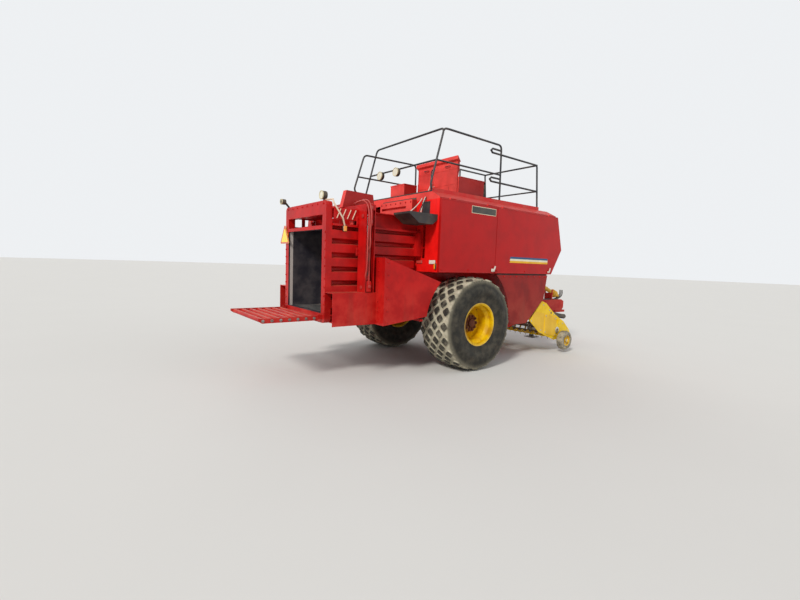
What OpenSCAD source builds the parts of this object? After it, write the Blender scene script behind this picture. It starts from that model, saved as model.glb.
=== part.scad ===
// Large square baler on a single axle, parked on its drawbar jack.
// +X points forward to the hitch, +Y left, +Z up; the ground is z = 0.
// Inside the modules x is measured from the axle, and left-hand pieces are drawn and mirrored.

/* [Wheels] */
// Outer radius of the main tyres, over the lugs
tyre_r = 795; // [760:5:830]
// Width of a main tyre
tyre_w = 715; // [650:5:720]
// Gap between a main tyre and the chassis
tyre_gap = 10; // [8:1:40]
// Radius of the rim's outer flange
rim_r = 365; // [340:5:380]
// Radius of the wheel spindle
spindle_r = 55; // [45:1:65]

/* [Bale chamber] */
// Width of the bale
bale_w = 1200; // [1160:10:1220]
// Height of the bale
bale_h = 1270; // [1230:10:1290]
// Height of the chamber floor above the ground
floor_z = 1010; // [1000:5:1030]
// Thickness of the chamber walls
wall_t = 15; // [10:1:20]
// Depth of the ribs on the chamber sides
rib_d = 97; // [70:1:100]
// Number of ribs on a chamber side
rib_count = 6; // [4:1:8]
// Distance from the axle back to the rear face of the portal
portal_reach = 2530; // [2450:10:2600]
// Depth of the rear portal along the machine
portal_d = 100; // [80:5:120]
// Height of the portal's top edge
portal_top = 2625; // [2600:5:2680]

/* [Side housings] */
// Half the width over the side doors
door_y = 1218; // [1200:1:1240]
// Depth of a door panel
door_t = 40; // [30:1:45]
// Height of the doors' lower edge
door_z0 = 1656; // [1650:1:1700]
// Height of the doors' upper edge
door_z1 = 2811; // [2780:1:2830]
// Distance from the axle back to the housing's rear wall
housing_rear = 800; // [780:5:860]
// Distance from the axle forward to the seam between the doors
door_seam = 555; // [500:5:600]
// Thickness of the housing's sheet
sheet_t = 10; // [6:1:12]

/* [Deck and rail] */
// Height of the housing's roof
roof_z = 2940; // [2920:5:2980]
// Half the width of the roof's flat part
roof_y = 985; // [950:5:1000]
// Thickness of the deck
deck_t = 20; // [15:1:30]
// Radius of the handrail tube
rail_r = 17; // [14:1:21]
// Distance from the axle forward to the chamber's front end
chamber_front = 1900; // [1850:10:1940]
// Distance from the axle forward to the deck's front end
deck_front = 2100; // [2095:5:2200]
// Height of the knotter hood, over its lid
hood_top = 3745; // [3700:5:3800]
// Height of the lower box ahead of the hood
low_hood_top = 3360; // [3300:5:3400]
// Height of the rear handrail's top tube
rail_top = 3980; // [3900:10:4000]
// Height of the front handrail's top tube
rail_front_top = 3815; // [3760:5:3860]

/* [Drawbar] */
// Distance from the axle to the centre of the hitch eye
hitch_reach = 4875; // [4700:5:5000]
// Outer radius of the hitch eye
eye_r = 75; // [65:1:90]
// Radius of the hitch eye's bore
eye_bore_r = 25; // [20:1:30]
// Thickness of the hitch eye
eye_t = 50; // [40:1:60]
// Height of the drawbar's front part
beam_low = 700; // [680:5:720]
// Distance from the axle to the jack
jack_x = 3900; // [3800:10:4200]

/* [Drive] */
// Radius of the flywheel
flywheel_r = 380; // [340:5:390]
// Height of the flywheel's axis
drive_z = 1660; // [1650:5:1700]

/* [Pickup] */
// Distance from the axle to the pickup's pivot
pickup_x = 1800; // [1780:5:1850]
// Height of the pickup's pivot
pickup_z = 780; // [760:5:790]
// Outer radius of the reel, over the tines
reel_r = 250; // [230:5:255]
// Tine bars on the reel
reel_bars = 5; // [4:1:6]
// Tines on each bar
reel_tines = 16; // [10:1:24]
// Half the width between the pickup's side plates
pickup_y = 1165; // [1140:1:1170]
// Radius of the gauge wheels
gauge_r = 200; // [180:5:210]

/* [Bale chute] */
// Length of the bale chute
chute_len = 880; // [700:10:1000]
// Radius of a chute roller
roller_r = 30; // [25:1:34]
// Number of chute rollers
roller_count = 7; // [5:1:9]

/* [Hidden] */
$fn = 48;
gap = 0.05;

chute_z = 960;
front_reach = hitch_reach + eye_r;
chute_pivot_x = -portal_reach - 40;
tail_reach = -chute_pivot_x + chute_len;
axle_x = (tail_reach - front_reach) / 2;

half_w = bale_w / 2;
wall_out = half_w + wall_t;
rib_out = wall_out + rib_d;
under_z = floor_z - wall_t;
rail_z0 = under_z - 120;
rail_out = half_w + 140;
tyre_y = rail_out + tyre_gap + tyre_w / 2;
ceiling_z = floor_z + bale_h;
roof_t = 20;
beam_z0 = ceiling_z + roof_t;
beam_z1 = beam_z0 + 230;
portal_x0 = -portal_reach;
portal_x1 = -portal_reach + portal_d;
frame_front = 2400;
bulkhead_t = 20;
gearbox_z0 = 1150;
pickup_pin_r = 25;

side_in = door_y - door_t;
edge_y = side_in - 8;
hinge_y = door_y - door_t / 2;
hinge_z = door_z1 + 14;
hinge_r = 14;
pin_r = 6;
housing_z0 = door_z0 - 5;
housing_z1 = door_z1 + 4;
front_top_x = 2450;
nose_x = 2640;
nose_z = 2157;
front_low_x = 2320;
back_y = 745;
back_x1 = 2180;

low_box_x1 = -1800;
low_box_y = 950;
low_box_z0 = rail_z0 - 20;
low_box_z1 = 1330;
beam_top = beam_low + 280;
neck_top = 1250;
post_x = -1930;

shield_y = 1150;
skirt_y = 1200;
deck_z = roof_z + deck_t;
gauge_x = 2850;
gauge_z = 262;
gauge_y = 1305;
gauge_w = 150;
reel_x = 2750;
reel_z = 470;
guard_x = 2500;
guard_z = 850;

shaft_a = [3010, 0, drive_z];
shaft_b = [hitch_reach - 275, 0, beam_low + 370];
shaft_u = (shaft_b - shaft_a) / norm(shaft_b - shaft_a);
guard_tube_r = 50;
yoke_bore_r = 22;
cradle_x = hitch_reach - 655;

red = "firebrick";

// Points of an arc about c, from angle a0 to a1
function arc(c, r, a0, a1, n) =
    [for (i = [0:n]) c + r * [cos(a0 + (a1 - a0) * i / n), sin(a0 + (a1 - a0) * i / n)]];

// Box between two corners, given as ranges along x, y and z
module block(x, y, z)
    translate([x[0], y[0], z[0]]) cube([x[1] - x[0], y[1] - y[0], z[1] - z[0]]);

// Side view outline in x and z, as thick as the range y
module side_plate(points, y)
    translate([0, y[1], 0]) rotate([90, 0, 0]) linear_extrude(y[1] - y[0]) polygon(points);

// Rear view outline in y and z, as long as the range x
module cross_plate(x)
    translate([x[0], 0, 0]) rotate([90, 0, 90]) linear_extrude(x[1] - x[0]) children();

// Round bar from a to b
module bar(a, b, r) {
    d = b - a;
    translate(a) rotate([0, acos(d[2] / norm(d)), atan2(d[1], d[0])]) cylinder(r = r, h = norm(d));
}

// Round bar along y
module cross_bar(x, y, z, r)
    translate([x, y[1], z]) rotate([90, 0, 0]) cylinder(r = r, h = y[1] - y[0]);

// Bent tube through a list of points, with a ball at each bend
module bent_tube(points, r) {
    for (i = [1:len(points) - 1])
        bar(points[i - 1], points[i], r);
    for (i = [1:1:len(points) - 2])
        translate(points[i]) sphere(r = r * 1.06, $fn = 24);
}

module both_sides() {
    children();
    mirror([0, 1, 0]) children();
}

module from_axle() translate([axle_x, 0, 0]) children();

// Chassis under and ahead of the chamber, with the low boxes beside its rear end
module main_frame() color(red) {
    web = 12;
    both_sides() {
        // Long rail, a channel open to the outside
        difference() {
            block([portal_x1, frame_front], [half_w, rail_out], [rail_z0, under_z]);
            block([portal_x1 - 1, frame_front - 1], [half_w + web, rail_out + 1],
                [rail_z0 + web, under_z - web]);
        }
        block([2200, 2260], [wall_out - 80, wall_out], [under_z - 1, roof_z - sheet_t]);
        difference() {
            block([portal_x0, low_box_x1], [rib_out, low_box_y], [low_box_z0, low_box_z1]);
            block([portal_x0 - 1, low_box_x1 - 10], [rib_out - 1, low_box_y - 10],
                [low_box_z0 - 1, low_box_z1 - 10]);
        }
        // Outriggers that carry the shields and the skirts, and the low boxes
        for (x = [-2100, -1080, 1050, 1500])
            block([x, x + 50], [half_w + 1, x < -2000 ? low_box_y - 1 : x < 0 ? shield_y - sheet_t :
                skirt_y - sheet_t], [rail_z0, rail_z0 + 30]);
        // Ears and pin of the pickup's pivot
        for (y = [640, 700])
            block([pickup_x - 60, pickup_x + 60], [y, y + 20], [pickup_z - 50, rail_z0 + 1]);
        cross_bar(pickup_x, [640, 720], pickup_z, pickup_pin_r);
    }
    // Cross members, channels open downwards
    for (x = [-2350, -1600, -800, -60, 700])
        channel([x, x + 100], [-half_w - 1, half_w + 1], [rail_z0, under_z], web);
    for (x = [2000, 2295])
        channel([x, x + 100], [-half_w - 1, half_w + 1], [under_z - 1, gearbox_z0], web);
    block([frame_front, frame_front + bulkhead_t], [-wall_out, wall_out], [rail_z0, 1320]);
}

// Channel across the machine, open downwards
module channel(x, y, z, t) difference() {
    block(x, y, z);
    block([x[0] + t, x[1] - t], [y[0] - 1, y[1] + 1], [z[0] - 1, z[1] - t]);
}

// Sheet metal box, open at the bottom where it stands on something
module sheet_box(x, y, z, t) difference() {
    block(x, y, z);
    block([x[0] + t, x[1] - t], [y[0] + t, y[1] - t], [z[0] - 1, z[1] - t]);
}

// Square axle beam with its two wheel spindles
module axle() color(red) {
    block([-75, 75], [-rail_out, rail_out], [rail_z0 - 150, rail_z0]);
    both_sides()
        cross_bar(0, [rail_out - 1, tyre_y + 60], tyre_r, spindle_r);
}

// Front end of the drawbar's box, behind the hitch eye
neck_end = hitch_reach - 115;

// Side outline of the drawbar, set in by t and open at its rear end
function neck(t) = [[frame_front + bulkhead_t - (t > 0 ? 1 : 0), 1100 + t], [3160 + 0.5 * t, 1100 + t],
    [3420 + 0.5 * t, beam_low + t], [neck_end - 80 - t, beam_low + t], [neck_end - t, 760 + t],
    [neck_end - t, 930 - t], [neck_end - 110 - t, beam_top - t], [3520 - t, beam_top + 10 - t],
    [3200 - 0.5 * t, neck_top - t], [frame_front + bulkhead_t - (t > 0 ? 1 : 0), neck_top - t]];

module neck_solid(t) intersection() {
    side_plate(neck(t), [-400, 400]);
    linear_extrude(1500)
        polygon([for (side = [-1, 1], q = side < 0 ? [[2400, 350], [3250, 110], [neck_end + 40, 110]] :
            [[neck_end + 40, 110], [3250, 110], [2400, 350]]) [q[0], side * (q[1] - t)]]);
}

// Swan-necked drawbar over the pickup, a welded box with its hitch eye
module drawbar() color(red) {
    difference() {
        neck_solid(0);
        neck_solid(15);
    }
    difference() {
        union() {
            block([neck_end - 310, hitch_reach], [-eye_r, eye_r], [beam_low - eye_t - 10, beam_low]);
            translate([hitch_reach, 0, beam_low - eye_t - 10]) cylinder(r = eye_r, h = eye_t + 10);
        }
        translate([hitch_reach, 0, beam_low - 100]) cylinder(r = eye_bore_r, h = 200);
        block([hitch_reach - eye_r - 10, hitch_reach + eye_r + 1], [-eye_r - 1, eye_r + 1],
            [beam_low - 10, beam_low + 1]);
    }
    // Cradle that holds the drive shaft when it is unhitched
    for (side = [-1, 1])
        block([cradle_x - 20, cradle_x + 20], [side * 98 - 8, side * 98 + 8],
            [beam_top - 10, shaft_under(cradle_x) + 80]);
    block([cradle_x - 20, cradle_x + 20], [-100, 100], [beam_top - 10, shaft_under(cradle_x + 20) - 0.5]);
}

// Height of the drive shaft's underside at x
function shaft_under(x) = shaft_a[2] + (x - shaft_a[0]) * shaft_u[2] / shaft_u[0] - guard_tube_r / shaft_u[0];

// Parking jack on the left of the drawbar
module jack_stand() color("dimgray") {
    block([jack_x - 50, jack_x + 50], [110, 160], [760, 920]);
    block([jack_x - 50, jack_x + 50], [160, 260], [330, 1060]);
    block([jack_x - 40, jack_x + 40], [170, 250], [14, 331]);
    block([jack_x - 130, jack_x + 130], [80, 340], [0, 15]);
    translate([jack_x, 210, 1059]) cylinder(r = 45, h = 40);
    bar([jack_x, 210, 1080], [jack_x, 340, 1080], 10);
}

// Left chamber wall with its pressed ribs
module chamber_side() color(red) {
    t = 8;
    block([portal_x1, chamber_front], [half_w, wall_out], [under_z, ceiling_z]);
    z0 = floor_z + 60;
    pitch = (ceiling_z - z0) / rib_count;
    for (i = [0:rib_count - 1])
        translate([portal_x1, 0, z0 + i * pitch])
            rotate([90, 0, 90]) linear_extrude(-housing_rear - 100 - portal_x1) difference() {
                polygon([[wall_out - 1, 0], [rib_out, 25], [rib_out, pitch - 60],
                    [wall_out - 1, pitch - 35]]);
                polygon([[wall_out, 2 * t], [rib_out - t, 25 + t], [rib_out - t, pitch - 60 - t],
                    [wall_out, pitch - 35 - 2 * t]]);
            }
    block([-housing_rear - 100, -housing_rear - 20], [wall_out - 1, rib_out + 80],
        [ceiling_z - 380, ceiling_z - 1]);
}

module chamber_floor() color(red)
    block([portal_x1, 790], [-half_w, half_w], [under_z, floor_z]);

// Chamber roof with the two long box beams that stiffen it
module chamber_roof() color(red) {
    t = 10;
    block([portal_x1, chamber_front], [-wall_out, wall_out], [ceiling_z, beam_z0]);
    block([portal_x1, -housing_rear], [-rail_out, rail_out], [ceiling_z, beam_z0]);
    both_sides()
        difference() {
            block([portal_x1, -housing_rear], [wall_out + 25, rail_out], [beam_z0 - 1, beam_z1]);
            block([portal_x1 - 1, -housing_rear + 1], [wall_out + 25 + t, rail_out - t],
                [beam_z0 - 2, beam_z1 - t]);
        }
}

// Main gearbox, a plain block with the bore of its input shaft
module gearbox() color("dimgray") difference() {
    block([1950, 2395], [-280, 280], [gearbox_z0, 1950]);
    translate([2300, 0, drive_z]) rotate([0, 90, 0]) cylinder(r = 45 + gap, h = 200);
}

// Curved duct that leads the crop from the pickup up into the chamber
module feed_duct() color(red) {
    t = 10;
    c = [1750, 1650];
    intersection() {
        difference() {
            side_plate(concat(arc(c, 1150, 292, 212, 16), arc(c, 800, 212, 292, 16)), [-half_w, half_w]);
            side_plate(concat(arc(c, 1150 - t, 294, 210, 16), arc(c, 800 + t, 210, 294, 16)),
                [-half_w + t, half_w - t]);
        }
        block([0, 3000], [-half_w, half_w], [0, under_z]);
    }
}

// Portal round the chamber's mouth
module rear_portal() color(red) {
    cross_plate([portal_x0, portal_x1]) difference() {
        translate([0, rail_z0]) offset(r = 60, $fn = 24) offset(delta = -60)
            translate([-rib_out, 0]) square([2 * rib_out, portal_top - rail_z0]);
        translate([-half_w, floor_z]) square([bale_w, 2225 - floor_z]);
        translate([-half_w, 2275]) square([bale_w, portal_top - 195 - 2275]);
    }
    both_sides()
        difference() {
            block([chute_pivot_x - 30, portal_x0 + 1], [640, 655], [chute_z - 30, chute_z + 40]);
            cross_bar(chute_pivot_x, [600, 700], chute_z, 15 + gap);
        }
}

// Posts and top beam that press the bale
module density_frame() color(red) {
    both_sides() {
        for (x = [post_x - 80, post_x + 65])
            block([x, x + 15], [rail_out, low_box_y], [low_box_z1, top_beam_z]);
        block([post_x - 80, post_x + 80], [rail_out, rail_out + 15], [low_box_z1, top_beam_z]);
    }
    block([post_x - 80, post_x + 80], [-low_box_y, low_box_y], [beam_z1, top_beam_z]);
}

// Top of the cross beam over the chamber
top_beam_z = beam_z1 + 80;

// Upright pressure cylinders between the posts
module density_cylinders() color("silver") both_sides() {
    y = 860;
    bar([post_x, y, 1400], [post_x, y, 2000], 55);
    bar([post_x, y, 1999], [post_x, y, top_beam_z - 170], 28);
    for (z = [1400, top_beam_z - 170])
        translate([post_x - 64.7, y, z]) rotate([0, 90, 0]) cylinder(r = 42, h = 129.4);
}

// Outline of the front housing from the side, set in by t
function shell_side(t) = [[-housing_rear - 1, 1500], [-housing_rear - 1, housing_z1],
    [-housing_rear + t, housing_z1], [-housing_rear + t, roof_z - t],
    [front_top_x - 50 - 0.6 * t, roof_z - t], [front_top_x - t, door_z1], [nose_x - 1.04 * t, nose_z],
    [front_low_x - 1.2 * t - 60, 1560]];

// Roof and nose of the housing in bent sheet, open at the sides for the doors
module front_shell() color(red) {
    difference() {
        intersection() {
            side_plate([[-housing_rear, housing_z0], [-housing_rear, roof_z], [front_top_x - 50, roof_z],
                [front_top_x, door_z1], [nose_x, nose_z], [front_low_x, housing_z0]],
                [-edge_y, edge_y]);
            cross_plate([-housing_rear - 1, nose_x + 1])
                polygon([[-edge_y, 1500], [-edge_y, housing_z1 + 20], [-roof_y, roof_z],
                    [roof_y, roof_z], [edge_y, housing_z1 + 20], [edge_y, 1500]]);
        }
        intersection() {
            side_plate(shell_side(sheet_t), [-edge_y - 1, edge_y + 1]);
            cross_plate([-housing_rear - 2, nose_x + 1])
                polygon([[-edge_y - 1, 1500], [-edge_y - 1, housing_z1],
                    [-edge_y + sheet_t, housing_z1], [-edge_y + sheet_t, housing_z1 + 16],
                    [-roof_y + 4, roof_z - sheet_t], [roof_y - 4, roof_z - sheet_t],
                    [edge_y - sheet_t, housing_z1 + 16], [edge_y - sheet_t, housing_z1],
                    [edge_y + 1, housing_z1], [edge_y + 1, 1500]]);
        }
        // Recess for the flywheel
        block([2200, nose_x + 10], [-450, 450], [1500, 2100]);
    }
    both_sides()
        for (x = hinge_places) {
            block([x, x + 60], [edge_y - 1, hinge_y], [hinge_z - 5, hinge_z + 5]);
            translate([x, hinge_y, hinge_z]) rotate([0, 90, 0]) cylinder(r = hinge_r, h = 60);
            translate([x, hinge_y, hinge_z]) rotate([0, 90, 0]) cylinder(r = pin_r, h = 120);
        }
}

// Start of each door hinge along x
hinge_places = [-600, 300, 700, 2150];

// Deck on the roof with its kick boards, and the steps behind the side housings
module platform_deck() color("dimgray") {
    block([-housing_rear, deck_front], [-roof_y, roof_y], [roof_z, deck_z]);
    both_sides() {
        block([-housing_rear, deck_front], [roof_y - 6, roof_y], [deck_z - 1, deck_z + 40]);
        block([-step_x, -housing_rear], [rail_out, step_y], [beam_z1, beam_z1 + 30]);
    }
}

// Reach of the steps backward from the axle and outward
step_x = 1370;
step_y = 1140;

// Handrails round the deck
module handrail() color("black") difference() {
    handrail_tubes();
    block([-900, 2200], [-roof_y, roof_y], [deck_z - 60, deck_z]);
}

// Heights of the middle tubes, and places along x of the leaning rear frame at its middle, top and foot
rail_mid = 3490;
rail_low = 3310;
rail_lean = [-617, -485, -760];

module handrail_tubes() {
    foot = deck_z - 20;
    y = 953;
    inner_y = 905;
    mid = rail_mid;
    low = rail_low;
    lean = rail_lean;
    // Rear frame: the tube rises, crosses over and comes down again
    bent_tube([[lean[2], -y, foot], [lean[1], -y, rail_top], [lean[1], inner_y, rail_top],
        [lean[2], inner_y, foot]], rail_r);
    bar([lean[0], -y, mid], [lean[0], inner_y, mid], rail_r);
    // Right side
    bent_tube([[lean[1], -y, rail_top], [877, -y, rail_top], [900, -y, foot]], rail_r);
    bar([lean[0], -y, mid], [889, -y, mid], rail_r);
    // Left side, which starts at the head of the ladder
    bent_tube([[-770, y, foot], [-1000, y, deck_z + 200], [-750, y, 3900], [880, y, 3900],
        [900, y, foot]], rail_r);
    bar([-900, y, 3450], [888, y, 3450], rail_r);
    // Front frame with hooked ends
    for (side = [-1, 1]) {
        for (z = [rail_front_top, low])
            bent_tube([[885, side * y, z + 70], [640, side * y, z + 70], [600, side * y, z + 35],
                [640, side * y, z], [z == low ? 2050 : 2000, side * y, z]], rail_r);
        bar([2000, side * y, rail_front_top], [2090, side * y, foot], rail_r);
        translate([2000, side * y, rail_front_top]) sphere(r = rail_r * 1.06, $fn = 24);
    }
    bar([2000, -y, rail_front_top], [2000, y, rail_front_top], rail_r);
    bar([2050, -y, low], [2050, y, low], rail_r);
}

// Upright hood over the knotters with its lid, and the low box ahead of it
module knotter_hood() color(red) {
    t = 5;
    y = hood_half;
    sheet_box(hood_x, [-y, y], [deck_z, hood_top - 40], t);
    block([hood_x[0] - lid_edge, hood_x[1] + lid_edge], [-y - 30, y + 30], [hood_top - 45, hood_top - 33]);
    sheet_box([hood_x[0] - lid_edge, hood_x[1] + lid_edge], [-y - 30, y + 30], [hood_top - 95, hood_top], t);
    sheet_box([hood_x[1] - t, 820], [-y - 100, y + 100], [deck_z, low_hood_top], t);
}

// Hood's place along x, its half width, and how far its lid stands out
hood_x = [70, 250];
hood_half = 600;
lid_edge = 40;

// Smaller boxes on the deck and on the chamber roof
module top_boxes() color(red) {
    t = 5;
    sheet_box([-250, hood_x[0] - 0.3], [450, 900], [deck_z, low_hood_top - 40], t);
    difference() {
        sheet_box([-housing_rear - 105, -housing_rear], [-wall_out, wall_out], [beam_z0, box_top], t);
        block([-housing_rear - 106, -housing_rear - 50], [-480, 250], [box_top - 160, box_top - 120]);
    }
    difference() {
        side_plate([[-1840, beam_z0], [-1800, box_top], [-1300, box_top], [-1250, beam_z0]], [-250, 250]);
        side_plate([[-1840 + t, beam_z0 - 1], [-1800 + t, box_top - t], [-1300 - t, box_top - t],
            [-1250 - t, beam_z0 - 1]], [-250 + t, 250 - t]);
    }
}

// Top of the boxes that stand on the chamber roof
box_top = roof_z - 80;

// Cover sheet behind the top beam, with its slanted rods
module roof_sheet() color(red) {
    block([portal_x1, post_x - 80], [-wall_out - 25, wall_out + 25], [beam_z1 - 60, beam_z1 - 50]);
    for (i = [0:3])
        bar([portal_x1 + 60 + 90 * i, -600, beam_z1 - 40], [portal_x1 + 100 + 90 * i, -250, beam_z1 - 40],
            12);
}

// Left twine box, a cabinet with shelves behind the doors
module twine_box() color(red) {
    difference() {
        block([-housing_rear, -housing_rear + sheet_t], [wall_out, edge_y], [housing_z0, housing_z1]);
        block([-housing_rear - 1, -housing_rear + sheet_t + 1], [790, 860], [1870, 2500]);
    }
    block([-housing_rear, 2295], [wall_out, edge_y], [housing_z0, housing_z0 + sheet_t]);
    block([-housing_rear, back_x1], [back_y, back_y + sheet_t], [housing_z0, housing_z1]);
    for (x = [door_seam - 5, back_x1 - sheet_t])
        block([x, x + sheet_t], [back_y, edge_y], [housing_z0, housing_z1]);
    for (z = [2035, 2425])
        block([-housing_rear, back_x1], [back_y, edge_y], [z, z + sheet_t]);
    block([-housing_rear, 2400], [edge_y - 20, edge_y], [housing_z1 - 20, housing_z1]);
}

// Flat shield behind the left wheel
module shield() color(red) {
    r = tyre_r + 175;
    side_plate(concat(arc([0, tyre_r], r, 134, 171, 10), [[low_box_x1, 850], [low_box_x1, 1850]]),
        [shield_y - sheet_t, shield_y]);
    block([low_box_x1, low_box_x1 + sheet_t], [low_box_y - 150, shield_y], [850, 1850]);
}

// Lower skirt under the left front door
module skirt() color(red) {
    r = tyre_r + 250;
    top = housing_z0 - 21;
    side_plate(concat(arc([0, tyre_r], r, -2, asin((top - tyre_r) / r), 12),
        [[2230, top], [2150, 1150], [1600, 690], [1100, 690]]), [skirt_y - sheet_t, skirt_y]);
    block([700, 2220], [1100, skirt_y - 1], [top - 10, top]);
    for (x = [760, 1450, 2100])
        block([x, x + 60], [1100, 1160], [top - 1, housing_z0]);
}

// Ladder behind the left wheel, up to the step
module ladder() color("dimgray") {
    for (x = [-1360, -960])
        block([x, x + 40], [shield_y + 10, shield_y + 45], [480, 2600]);
    for (i = [0:6])
        block([-1321, -959], [shield_y + 12, shield_y + 42], [520 + 300 * i, 550 + 300 * i]);
    for (x = [-1355, -955])
        block([x, x + 30], [shield_y, shield_y + 11], [1100, 1160]);
    block([-1340, -980], [1140, shield_y + 11], [beam_z1 + 5, beam_z1 + 25]);
}

// Work lamps, marker lamps and reflectors
module lamps() color("black") {
    // Work lamp on the portal
    translate([portal_x0 - 10, -580, 2705]) rotate([0, 90, 0]) cylinder(r = 60, h = 70);
    block([portal_x0 + 20, portal_x0 + 40], [-590, -570], [portal_top, 2650]);
    // Lamp on its arm at the portal's left post
    bent_tube([[portal_x0 + 50, rib_out + 17.3, 2300], [portal_x0 + 50, rib_out + 17.3, 2650],
        [portal_x0 - 30, rib_out - 10, 2720]], 17);
    translate([portal_x0 - 90, rib_out - 12, 2720]) rotate([0, 90, 0]) cylinder(r = 45, h = 70);
    // Work lamps on the rear rail
    for (y = [380, 780])
        translate([rail_lean[0] - 75, y, rail_mid]) rotate([0, 90, 0])
            cylinder(r = 60, h = 75 - rail_r - 0.3);
    // Markers and reflectors: place, size
    for (m = [[[-housing_rear - 30, -1160, 1700], [30, 35, 90]],
            [[-housing_rear - 8, -1110, 1775], [8, 120, 60]],
            [[-housing_rear - 8, -780, 1775], [8, 90, 50]],
            [[-housing_rear - 30, 1125, 1700], [30, 35, 90]],
            [[-housing_rear - 8, 990, 1775], [8, 120, 60]],
            [[-housing_rear - 8, 690, 1775], [8, 90, 50]],
            [[portal_x1 + 150, -rail_out - 25, beam_z0 + 50], [60, 25, 80]],
            [[portal_x1 + 150, rail_out, beam_z0 + 50], [60, 25, 80]]])
        translate(m[0]) cube(m[1]);
}

// Triangle for slow vehicles on the left post
module slow_sign() color("orange") {
    block([portal_x0 - 15, portal_x0], [630, 700], [2130, 2200]);
    translate([portal_x0 - 14, 720, 2160]) rotate([90, 0, -90])
        linear_extrude(4) polygon([[-180, -105], [-160, -125], [160, -125], [180, -105], [20, 175], [-20, 175]]);
}

// Drive shaft in its guard, laid in the drawbar's cradle
module pto_shaft() color("gold") difference() {
    a = shaft_a;
    b = shaft_b;
    u = shaft_u;
    union() {
        bar(a + 60 * u, b, guard_tube_r);
        bar(a + 100 * u, a + 260 * u, 85);
        bar(b - 260 * u, b - 100 * u, 85);
        bar(a, a + 61 * u, 32);
        bar(b - u, b + 90 * u, 42);
    }
    bar(b + 10 * u, b + 100 * u, yoke_bore_r);
}

// Flywheel with its shaft
module flywheel() color(red) translate([0, 0, drive_z]) rotate([0, 90, 0]) {
    translate([0, 0, 2310]) cylinder(r = 45, h = 675);
    difference() {
        translate([0, 0, 2760]) cylinder(r = flywheel_r, h = 120);
        translate([0, 0, 2850]) cylinder(r = flywheel_r - 70, h = 40);
        for (i = [0:5])
            rotate(60 * i) translate([200, 0, 2700]) cylinder(r = 55, h = 200);
    }
    translate([0, 0, 2849]) cylinder(r = 110, h = 60);
}

// Pan of a side door: outer skin, turned edge and the hinge eyes
module door(points, places) color(red) {
    difference() {
        side_plate(points, [door_y - door_t, door_y]);
        translate([0, door_y - 4, 0]) rotate([90, 0, 0]) linear_extrude(door_t)
            offset(delta = -25) polygon(points);
    }
    for (x = places)
        difference() {
            union() {
                block([x + 61, x + 121], [hinge_y - 6, hinge_y + 6], [door_z1 - 1, hinge_z]);
                translate([x + 61, hinge_y, hinge_z]) rotate([0, 90, 0]) cylinder(r = hinge_r, h = 60);
            }
            translate([x + 60, hinge_y, hinge_z]) rotate([0, 90, 0]) cylinder(r = pin_r + gap, h = 62);
        }
}

module door_rear() door([[-housing_rear, door_z0], [door_seam - 5, door_z0], [door_seam - 5, door_z1],
    [-housing_rear, door_z1]], [hinge_places[0], hinge_places[1]]);

module door_front() door([[door_seam + 5, door_z0], [front_low_x + 10, door_z0], [nose_x + 10, nose_z],
    [front_top_x, door_z1], [door_seam + 5, door_z1]], [hinge_places[2], hinge_places[3]]);

// Half of a profile and its mirror image, from +y to -y
function mirrored(half) = concat(half, [for (i = [len(half) - 2:-1:0]) [half[i][0], -half[i][1]]]);
function reversed(list) = [for (i = [len(list) - 1:-1:0]) list[i]];

seat_r = rim_r - 25;
bead = 290;

// Main tyre about the y axis: a carcass open towards the rim
module tyre() color("dimgray") rotate([90, 0, 0]) rotate_extrude($fn = 72) {
    w = tyre_w / 2;
    side = [570, w - 160];
    outer = concat([[seat_r, bead]], arc(side, 160, 130, 62, 6),
        [[tyre_r - 28, w - 32], [tyre_r - 6, w - 120], [tyre_r, 0]]);
    inner = concat([[seat_r, bead - 40]], arc(side, 130, 130, 62, 6),
        [[tyre_r - 60, w - 75], [tyre_r - 50, 0]]);
    polygon(concat(mirrored(outer), reversed(mirrored(inner))));
}

// Rim with its dish and hub, outside towards +y
module rim() color("gold") rotate([-90, 0, 0]) difference() {
    t = 12;
    outer = [[rim_r, bead + 22], [rim_r, bead + 8], [seat_r, bead], [seat_r, bead - 60],
        [seat_r - 40, bead - 110], [seat_r - 40, 0]];
    inner = [[rim_r - 6, bead + 22], [rim_r - 10, bead + 20], [seat_r - t, bead + 10],
        [seat_r - t, bead - 55], [seat_r - 40 - t, bead - 105], [seat_r - 40 - t, 0]];
    rotate_extrude($fn = 72) {
        polygon(concat(mirrored(outer), reversed(mirrored(inner))));
        polygon([[0, 110], [150, 110], [170, 60], [240, 30], [seat_r - 40 - t + 1, 30],
            [seat_r - 40 - t + 1, 12], [235, 12], [155, 40], [110, 40], [110, -120], [0, -120]]);
    }
    translate([0, 0, -121]) cylinder(r = spindle_r + gap, h = 121 + 70);
}

module at_wheel(side) translate([0, side * tyre_y, tyre_r]) children();

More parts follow.
